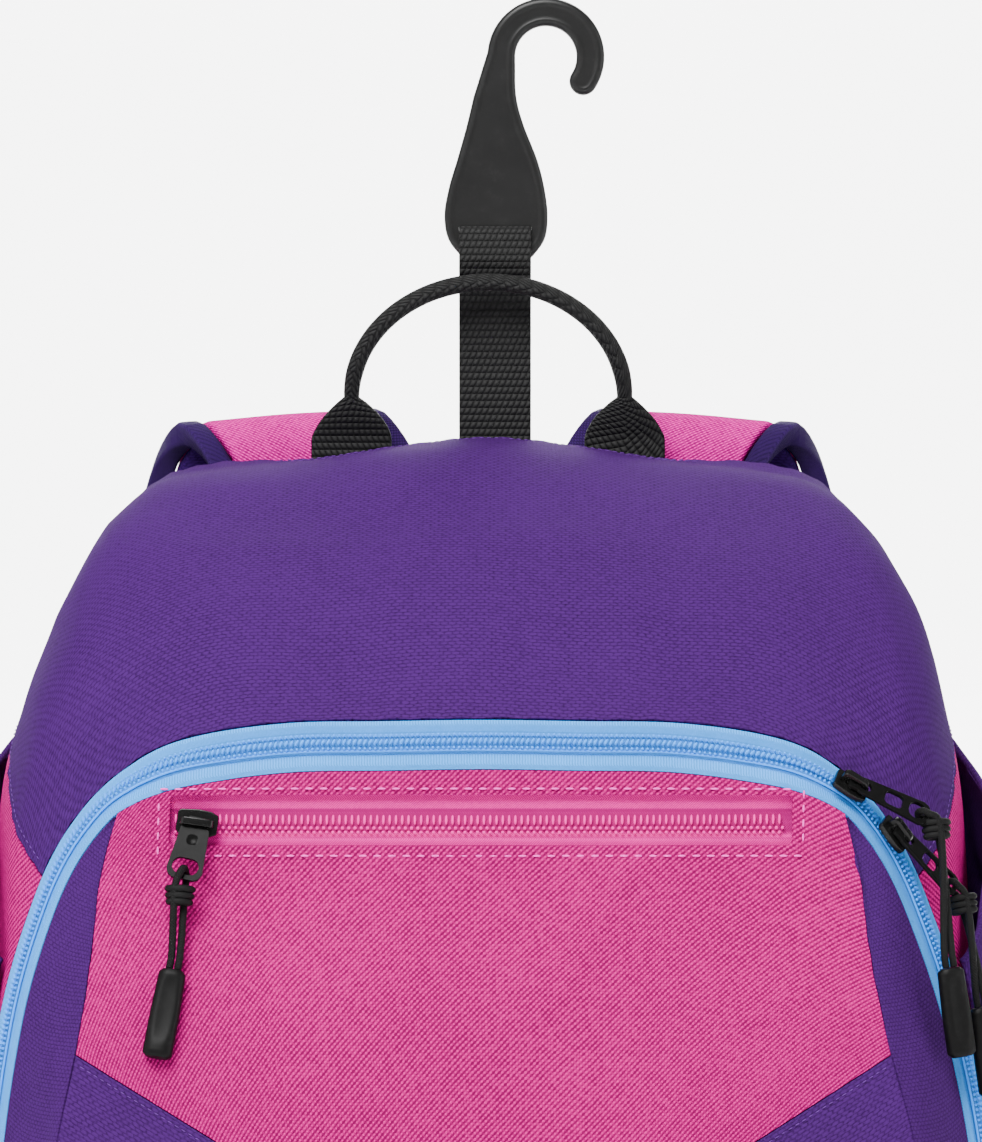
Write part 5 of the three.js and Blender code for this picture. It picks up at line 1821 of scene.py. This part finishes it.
class BAG_OT_back(bpy.types.Operator):
    """Adds the padded back and finishes the base"""

    bl_idname = "bat_bag.back"
    bl_label = "Back and base"

    upright_seams = (-46, 46)
    level_seams = (110, 235, 360)

    def execute(self, context):
        piece = self.plain_pad()
        modify(piece, "REMESH", mode="VOXEL", voxel_size=5 * MM)
        places = vertex_array(piece.data) / MM
        sewn = self.near_seam(places) * (places[:, 1] > BACK_SEAM_Y + 5)
        places[:, 1] -= 2.2 * sewn
        set_vertices(piece.data, places * MM)
        rim = self.outline_gap(places) < 6
        inflated(piece, 4, 2.2, (sewn > 0.3) | rim | (places[:, 1] < BACK_SEAM_Y + 3))
        modify(piece, "SUBSURF", levels=1, render_levels=1)
        smooth(piece)
        finish_piece(piece, material("back cloth"), "purple_cloth", "back_panel")
        pitch = sewing().stitch
        seams = repeated("back_stitches", bead(pitch * 0.62, 0.7, 0.6), self.seams(piece, pitch))
        finish_piece(seams, material("purple thread"), "purple_cloth")
        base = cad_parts["base_panel"]
        base.data.materials.clear()
        base.data.materials.append(material("base cloth"))
        return {"FINISHED"}

    @staticmethod
    def outline():
        ring = ring_at(0)
        edge = np.array([ring.at_length(k / 160) for k in range(161)])
        edge[:, 0] += lean_at(edge[:, 2])
        return edge

    def plain_pad(self):
        """The pad before it swells: the bag's rear outline with a rounded rim."""
        edge = self.outline()
        middle = np.array((0, 0, 225))
        toward = (middle - edge) * np.array((1, 0, 1))
        away = np.linalg.norm(toward, axis=1, keepdims=True)
        front, rear = BACK_SEAM_Y + GAP, BACK_FACE_Y - 1.2
        rim = ((0.3, front), (0.3, front + 2.5), (0.9, front + 4.2), (2.2, front + 5.6), (4.5, rear))
        turns = [(away * share, front) for share in (0.985, 0.5)]
        turns += list(rim) + [(away * share, rear) for share in (0.5, 0.985)]
        loops = []
        for inset, y in turns:
            loop = edge + toward / away * inset
            loop[:, 1] = y
            loops.append(loop)
        return tube("back_padding", loops)

    def outline_gap(self, places):
        """How far points are from the pad's rim, seen from behind."""
        edge = self.outline()
        gap = np.full(len(places), 1e9)
        for a, b in zip(edge, edge[1:]):
            across, up = b[0] - a[0], b[2] - a[2]
            x, z = places[:, 0] - a[0], places[:, 2] - a[2]
            share = np.clip((x * across + z * up) / (across * across + up * up), 0, 1)
            gap = np.minimum(gap, np.hypot(x - share * across, z - share * up))
        return gap

    def near_seam(self, places):
        """A share that is 1 in the middle of a sewn channel and falls to nothing beside it."""
        near = np.zeros(len(places))
        for line in self.upright_seams:
            near = np.maximum(near, 1 - np.abs(places[:, 0] - line) / 6)
        for level in self.level_seams:
            near = np.maximum(near, 1 - np.abs(places[:, 2] - level) / 6)
        return near

    def seams(self, piece, pitch):
        """Placements of stitches down the middle of each channel."""
        runs = [[(x, z) for z in np.linspace(20, 445, 150)] for x in self.upright_seams]
        runs += [[(x, z) for x in np.linspace(-140, 140, 100)] for z in self.level_seams]
        places = []
        for run in runs:
            line, normals = [], []
            for x, z in run:
                behind = Vector((x, BACK_FACE_Y + 40, z)) * MM
                hit, place, normal, _ = piece.ray_cast(behind, Vector((0, -1, 0)))
                if hit:
                    line.append(np.array(place) / MM + (0, 0.2, 0))
                    normals.append(np.array(normal))
            places += stitch_line(line, normals, pitch)
        return places


# Straps, handle and hook


def strap_curve():
    points = [(width_at(x), BACK_FACE_Y + out, height_at(z)) for x, out, z in STRAP_LINE]
    return Spline(points)


STRAP = strap_curve()


def strap_point(a, b, h):
    """A place on the right strap: share of its length, across it and through it."""
    share = STRAP.share_of_length(a)
    across = np.array((math.cos(STRAP_TILT), 0, -math.sin(STRAP_TILT)))
    normal = np.cross(across, STRAP.tangent(share))
    normal /= np.linalg.norm(normal)
    return STRAP.at(share) + across * b + normal * h


class BAG_OT_shoulder_straps(bpy.types.Operator):
    """Adds the shoulder straps with their binding, adjusters and webbing"""

    bl_idname = "bat_bag.shoulder_straps"
    bl_label = "Shoulder straps"

    def execute(self, context):
        length = STRAP.length()
        pad_half = STRAP_WIDTH / 2 - BINDING
        pad_end = 1 - BINDING / length
        for name, sign in (("right", 1), ("left", -1)):
            flip = np.array((sign, 1, 1))
            pad = self.pad(f"strap_padding_{name}", pad_half, pad_end, flip)
            finish_piece(pad, material("strap cloth"), "strap_pink", f"shoulder_strap_{name}")
            self.line_underside(pad)
            edge = self.binding(f"strap_edge_{name}", pad_half, pad_end, flip)
            finish_piece(edge, material("binding"), "purple_cloth", f"strap_binding_{name}")
            buckle = self.adjuster(f"strap_ladder_lock_{name}", sign)
            finish_piece(buckle, material("black plastic"), "black_plastic", f"strap_adjuster_{name}")
            web = self.webbing(f"strap_black_webbing_{name}", flip)
            finish_piece(web, material("webbing"), "black_webbing", f"strap_webbing_{name}")
        return {"FINISHED"}

    @staticmethod
    def line_underside(pad):
        """Gives the faces that look at the wearer the lining cloth."""
        pad.data.materials.append(material("lining"))
        line = np.array([STRAP.at(k / 120) for k in range(121)])
        ways = np.array([STRAP.tangent(k / 120) for k in range(121)])
        for face in pad.data.polygons:
            centre = np.array(face.center) / MM
            k = int(np.argmin(np.sum((line[:, 1:] - centre[1:]) ** 2, axis=1)))
            outward = np.array((0, ways[k][2], -ways[k][1]))
            under = np.dot(outward, np.array(face.normal)) > 0.3
            face.material_index = 1 if under else 0

    @staticmethod
    def pad(name, half, end, flip):
        """A soft pad whose faces swell between its edges."""
        loops = []
        section = rounded_section(2 * (half - GAP), STRAP_PAD, 2.2, 5)
        wide = np.linspace(-1, 1, 17)
        for i in range(91):
            a = end * i / 90
            loop = []
            top = [(q * (half - 2.4), STRAP_PAD / 2) for q in wide[::-1]]
            bottom = [(q * (half - 2.4), -STRAP_PAD / 2) for q in wide]
            rims = [p for p in section if abs(p[1]) < STRAP_PAD / 2 - 0.01]
            right = sorted((p for p in rims if p[0] > 0), key=lambda p: p[1])
            left = sorted((p for p in rims if p[0] < 0), key=lambda p: -p[1])
            for b, h in bottom + right + top + left:
                crown = 0.9 * math.cos(clamp(b / half, -1, 1) * math.pi / 2) ** 0.7
                ripple = 0.35 * noise.noise(Vector((a * 9, b / 22, h)))
                loop.append(strap_point(a, b, h + math.copysign(crown, h) * 0.5 + ripple) * flip)
            loops.append(loop)
        piece = tube(name, loops)
        smooth(piece, 50)
        return piece

    @staticmethod
    def binding(name, half, end, flip):
        """The folded tape round the pad's two sides and its lower end."""
        middle = half + BINDING / 2
        length = STRAP.length()
        stations = []
        for i in range(81):
            stations.append((i / 80 * (end - 0.01), -middle, (0, -1)))
        for k in range(1, 12):
            angle = math.pi / 2 * k / 12
            a = end - 0.01 + (1 - BINDING / 2 / length - end + 0.01) * math.sin(angle)
            b = -middle + 7 * (1 - math.cos(angle))
            stations.append((a, b, (math.sin(angle) * 1.0, -math.cos(angle))))
        last = 1 - BINDING / 2 / length
        for b in np.linspace(-middle + 9, middle - 9, 22):
            stations.append((last, b, (1, 0)))
        for a, b, way in reversed(stations[: 81 + 11]):
            stations.append((a, -b, (way[0], -way[1])))
        loops = []
        turns = np.linspace(0, 2 * math.pi, 20, endpoint=False)
        for a, b, (down, aside) in stations:
            loop = []
            for t in turns:
                c, s = math.cos(t), math.sin(t)
                out = math.copysign(abs(c) ** 0.4, c) * (BINDING / 2 - 0.15)
                high = math.copysign(abs(s) ** 0.4, s) * (STRAP_PAD / 2 + 0.4)
                loop.append(strap_point(clamp(a + down * out / length), b + aside * out, high) * flip)
            loops.append(loop)
        piece = tube(name, loops)
        smooth(piece, 70)
        return piece

    @staticmethod
    def adjuster(name, sign):
        """A ladder lock: a frame with two bars for the webbing."""
        end = STRAP.at(1)
        centre = (sign * end[0], end[1], end[2] - 13 - 4)
        plate_piece = plate(name, rounded_outline(28, 26, 3.5, (0, 0)), 6)
        for z, height in ((7, 5), (-1, 4.5), (-8.5, 4)):
            cut(plate_piece, plate("slot", rounded_outline(21, height, 1, (0, z)), 10))
        modify(plate_piece, "BEVEL", width=0.7 * MM, segments=2, limit_method="ANGLE", angle_limit=0.6)
        polished(plate_piece, 35)
        places = vertex_array(plate_piece.data)
        y = places[:, 1]
        places[:, 1] = np.where(np.abs(places[:, 2]) < 5 * MM, y * 0.72, y)
        set_vertices(plate_piece.data, places + np.array(centre) * MM)
        return plate_piece

    @staticmethod
    def webbing(name, flip):
        end = STRAP.at(1)
        top = np.array((end[0], end[1], end[2] - 30 - 0.6))
        foot = np.array((width_at(80), BACK_FACE_Y + GAP + 0.75, height_at(9)))

        def on_the_way(across, rearward, down):
            return tuple(top + (foot - top) * np.array((across, rearward, down)))

        line = Spline(
            [
                tuple(top),
                on_the_way(0, 0, 0.05),
                on_the_way(0.2, 0.25, 0.25),
                on_the_way(0.6, 0.75, 0.62),
                on_the_way(0.92, 1, 0.9),
                tuple(foot),
            ]
        )
        centres = np.array([line.at_length(i / 60) for i in range(61)])

        def across(i):
            along = line.tangent(line.share_of_length(i / 60))
            wide = np.array((1.0, 0, 0)) - along[0] * along
            return wide / np.linalg.norm(wide)

        piece = band(name, centres, across, rounded_section(20, 1.5, 0.5, 2))
        set_vertices(piece.data, vertex_array(piece.data) * flip)
        if flip[0] < 0:
            in_edit_mode(piece, bpy.ops.mesh.flip_normals)
        return piece


class BAG_OT_handle(bpy.types.Operator):
    """Adds the carry handle and the hook's strap"""

    bl_idname = "bat_bag.handle"
    bl_label = "Handle and hook strap"

    def execute(self, context):
        self.handle()
        self.hook_strap()
        return {"FINISHED"}

    @staticmethod
    def handle():
        """Webbing folded into a tube, spread flat at its two feet."""
        reach, neck, rise = 47.5, BAG_HEIGHT + 14, 40
        stations = [(-reach, BAG_HEIGHT - 11.7, 28, 3), (-reach, BAG_HEIGHT - 1, 28, 3)]
        for k in range(1, 9):
            share = k / 9
            spread = share**1.8
            z = lerp(BAG_HEIGHT - 1, neck, share)
            stations.append((-reach, z, lerp(28, 6, spread), lerp(3, 7.4, share)))
        steps = 64
        for k in range(steps + 1):
            angle = math.pi * (1 - k / steps)
            pinch = 0.88 + 0.12 * clamp(min(k, steps - k) / 5)
            stations.append(
                (reach * math.cos(angle), neck + rise * math.sin(angle), 6.4 * pinch, 8.4 * pinch)
            )
        stations += [(-x, z, w, d) for x, z, w, d in reversed(stations[:10])]
        loops = []
        for i, (x, z, width, depth) in enumerate(stations):
            before, after = stations[max(i - 1, 0)], stations[min(i + 1, len(stations) - 1)]
            along = np.array((after[0] - before[0], 0, after[1] - before[1]))
            along = along / np.linalg.norm(along)
            across = np.array((along[2], 0, -along[0]))
            climb = clamp((z - BAG_HEIGHT) / 54)
            middle = np.array((x, HOOK_Y - 10.5 * math.sin(climb * math.pi / 2), z))
            seam = 0.55 * clamp(climb * 4)
            loop = []
            for k in range(24):
                angle = 2 * math.pi * k / 24
                c, s = math.cos(angle), math.sin(angle)
                groove = 1 - seam * 0.35 * math.exp(-((abs(angle - math.pi) / 0.3) ** 2))
                square = 0.62 if width > 12 else 0.85
                a = math.copysign(abs(c) ** square, c) * width / 2 * groove
                b = math.copysign(abs(s) ** square, s) * depth / 2
                loop.append(middle + across * a + np.array((0, b, 0)))
            loops.append(loop)
        piece = tube("handle_webbing", loops)
        smooth(piece, 70)
        finish_piece(piece, material("webbing"), "black_webbing", "carry_handle")

    @staticmethod
    def hook_strap():
        """Doubled webbing looped through the hook's slot."""
        layer, clear = 0.9, 4.55
        slot = HOOK_BASE + 9 + GAP + 0.75
        front = [
            (HOOK_Y - layer, BAG_HEIGHT - 11.7),
            (HOOK_Y - layer, BAG_HEIGHT + 20),
            (HOOK_Y - layer, HOOK_BASE - 14),
            (HOOK_Y - layer - 0.6, HOOK_BASE - 10),
            (HOOK_Y - clear, HOOK_BASE - 0.5),
            (HOOK_Y - clear, slot - 0.6),
            (HOOK_Y - clear + 1, slot + 0.35),
            (HOOK_Y - 2, slot + 0.35),
        ]
        points = front + [(2 * HOOK_Y - y, z) for y, z in reversed(front)]
        centres = []
        for (ya, za), (yb, zb) in zip(points, points[1:]):
            count = max(1, int(math.hypot(yb - ya, zb - za) / 1.2))
            centres += [(HOOK_X, lerp(ya, yb, k / count), lerp(za, zb, k / count)) for k in range(count)]
        centres.append((HOOK_X, *points[-1]))
        piece = band("hook_webbing", centres, lambda i: (1, 0, 0), rounded_section(25, 1.5, 0.55, 3))
        finish_piece(piece, material("webbing"), "black_webbing", "hook_strap")


class BAG_OT_hook(bpy.types.Operator):
    """Adds the fence hook"""

    bl_idname = "bat_bag.hook"
    bl_label = "Fence hook"

    def execute(self, context):
        rows = ((-0.3, -11, 12.4), (6.5, -16.2, 17.2), (14.6, -17.6, 18.3), (24.6, -16, 17.1))
        rows += ((34, -13.2, 14.7), (46.5, -9.7, 9.8), (55.8, -7.5, 7.4))
        centre, outer, rod = (17.6, 69.7), 20.3, 9.7
        end = math.radians(-33)
        left = Spline([(a, 0, z) for z, a, _ in rows])
        right = Spline([(centre[0] - outer + rod, 0, centre[1])] + [(b, 0, z) for z, _, b in reversed(rows)])
        outline = [tuple(left.at(k / 30)[[0, 2]]) for k in range(31)]
        for k in range(1, 45):
            angle = lerp(math.pi, end, k / 44)
            outline.append((centre[0] + outer * math.cos(angle), centre[1] + outer * math.sin(angle)))
        tip = outer - rod / 2
        for k in range(1, 12):
            angle = end - math.pi * k / 12
            tip_x, tip_z = centre[0] + tip * math.cos(end), centre[1] + tip * math.sin(end)
            outline.append((tip_x + rod / 2 * math.cos(angle), tip_z + rod / 2 * math.sin(angle)))
        for k in range(0, 36):
            angle = lerp(end, math.pi, k / 36)
            inner = outer - rod
            outline.append((centre[0] + inner * math.cos(angle), centre[1] + inner * math.sin(angle)))
        outline += [tuple(right.at(k / 30)[[0, 2]]) for k in range(31)]
        hook = plate("hook_plastic", outline, 7)
        modify(hook, "BEVEL", width=2.4 * MM, segments=6, limit_method="ANGLE", angle_limit=0.9)
        self.dish(hook)
        cut(hook, plate("slot", rounded_outline(25.1, 1.8, 0.3, (0, 10.05)), 20))
        set_vertices(hook.data, vertex_array(hook.data) + np.array((HOOK_X, HOOK_Y, HOOK_BASE)) * MM)
        polished(hook, 40)
        finish_piece(hook, material("black plastic"), "black_plastic", "fence_hook")
        return {"FINISHED"}

    @staticmethod
    def dish(hook):
        """Sinks the two flat faces a little inside a raised rim."""
        only(hook)
        for face in hook.data.polygons:
            face.select = abs(face.normal.y) > 0.999
        for part in (*hook.data.vertices, *hook.data.edges):
            part.select = False
        bpy.ops.object.mode_set(mode="EDIT")
        bpy.ops.mesh.select_mode(type="FACE")
        bpy.ops.mesh.inset(thickness=0.5 * MM, depth=0, use_boundary=True, use_even_offset=False)
        bpy.ops.mesh.inset(thickness=1.2 * MM, depth=-0.5 * MM, use_boundary=True, use_even_offset=False)
        bpy.ops.object.mode_set(mode="OBJECT")


class BAG_PT_panel(bpy.types.Panel):
    """Lists the steps that build the bag"""

    bl_idname = "BAG_PT_panel"
    bl_label = "Bat bag"
    bl_space_type = "VIEW_3D"
    bl_region_type = "UI"
    bl_category = "Bat bag"

    def draw(self, context):
        for name, group in SETTINGS.items():
            box = self.layout.box()
            for key in group.__annotations__:
                box.prop(getattr(context.scene, name), key)
        for step in STEPS:
            self.layout.operator(step.bl_idname)


SETTINGS = {"bat_bag_cloth": BAG_PG_cloth, "bat_bag_sewing": BAG_PG_sewing, "bat_bag_stage": BAG_PG_stage}
STEPS = (
    BAG_OT_stage,
    BAG_OT_zip_pulls,
    BAG_OT_body,
    BAG_OT_flap,
    BAG_OT_sleeves,
    BAG_OT_flap_zip,
    BAG_OT_pocket_zip,
    BAG_OT_stitches,
    BAG_OT_back,
    BAG_OT_shoulder_straps,
    BAG_OT_handle,
    BAG_OT_hook,
)


def register():
    for cls in (*SETTINGS.values(), *STEPS, BAG_PT_panel):
        bpy.utils.register_class(cls)
    for name, cls in SETTINGS.items():
        setattr(bpy.types.Scene, name, PointerProperty(type=cls))


def unregister():
    for name in SETTINGS:
        delattr(bpy.types.Scene, name)
    for cls in reversed((*SETTINGS.values(), *STEPS, BAG_PT_panel)):
        bpy.utils.unregister_class(cls)


def main():
    register()
    deselect()
    for step in STEPS:
        group, name = step.bl_idname.split(".")
        getattr(getattr(bpy.ops, group), name)()


if __name__ == "__main__":
    main()
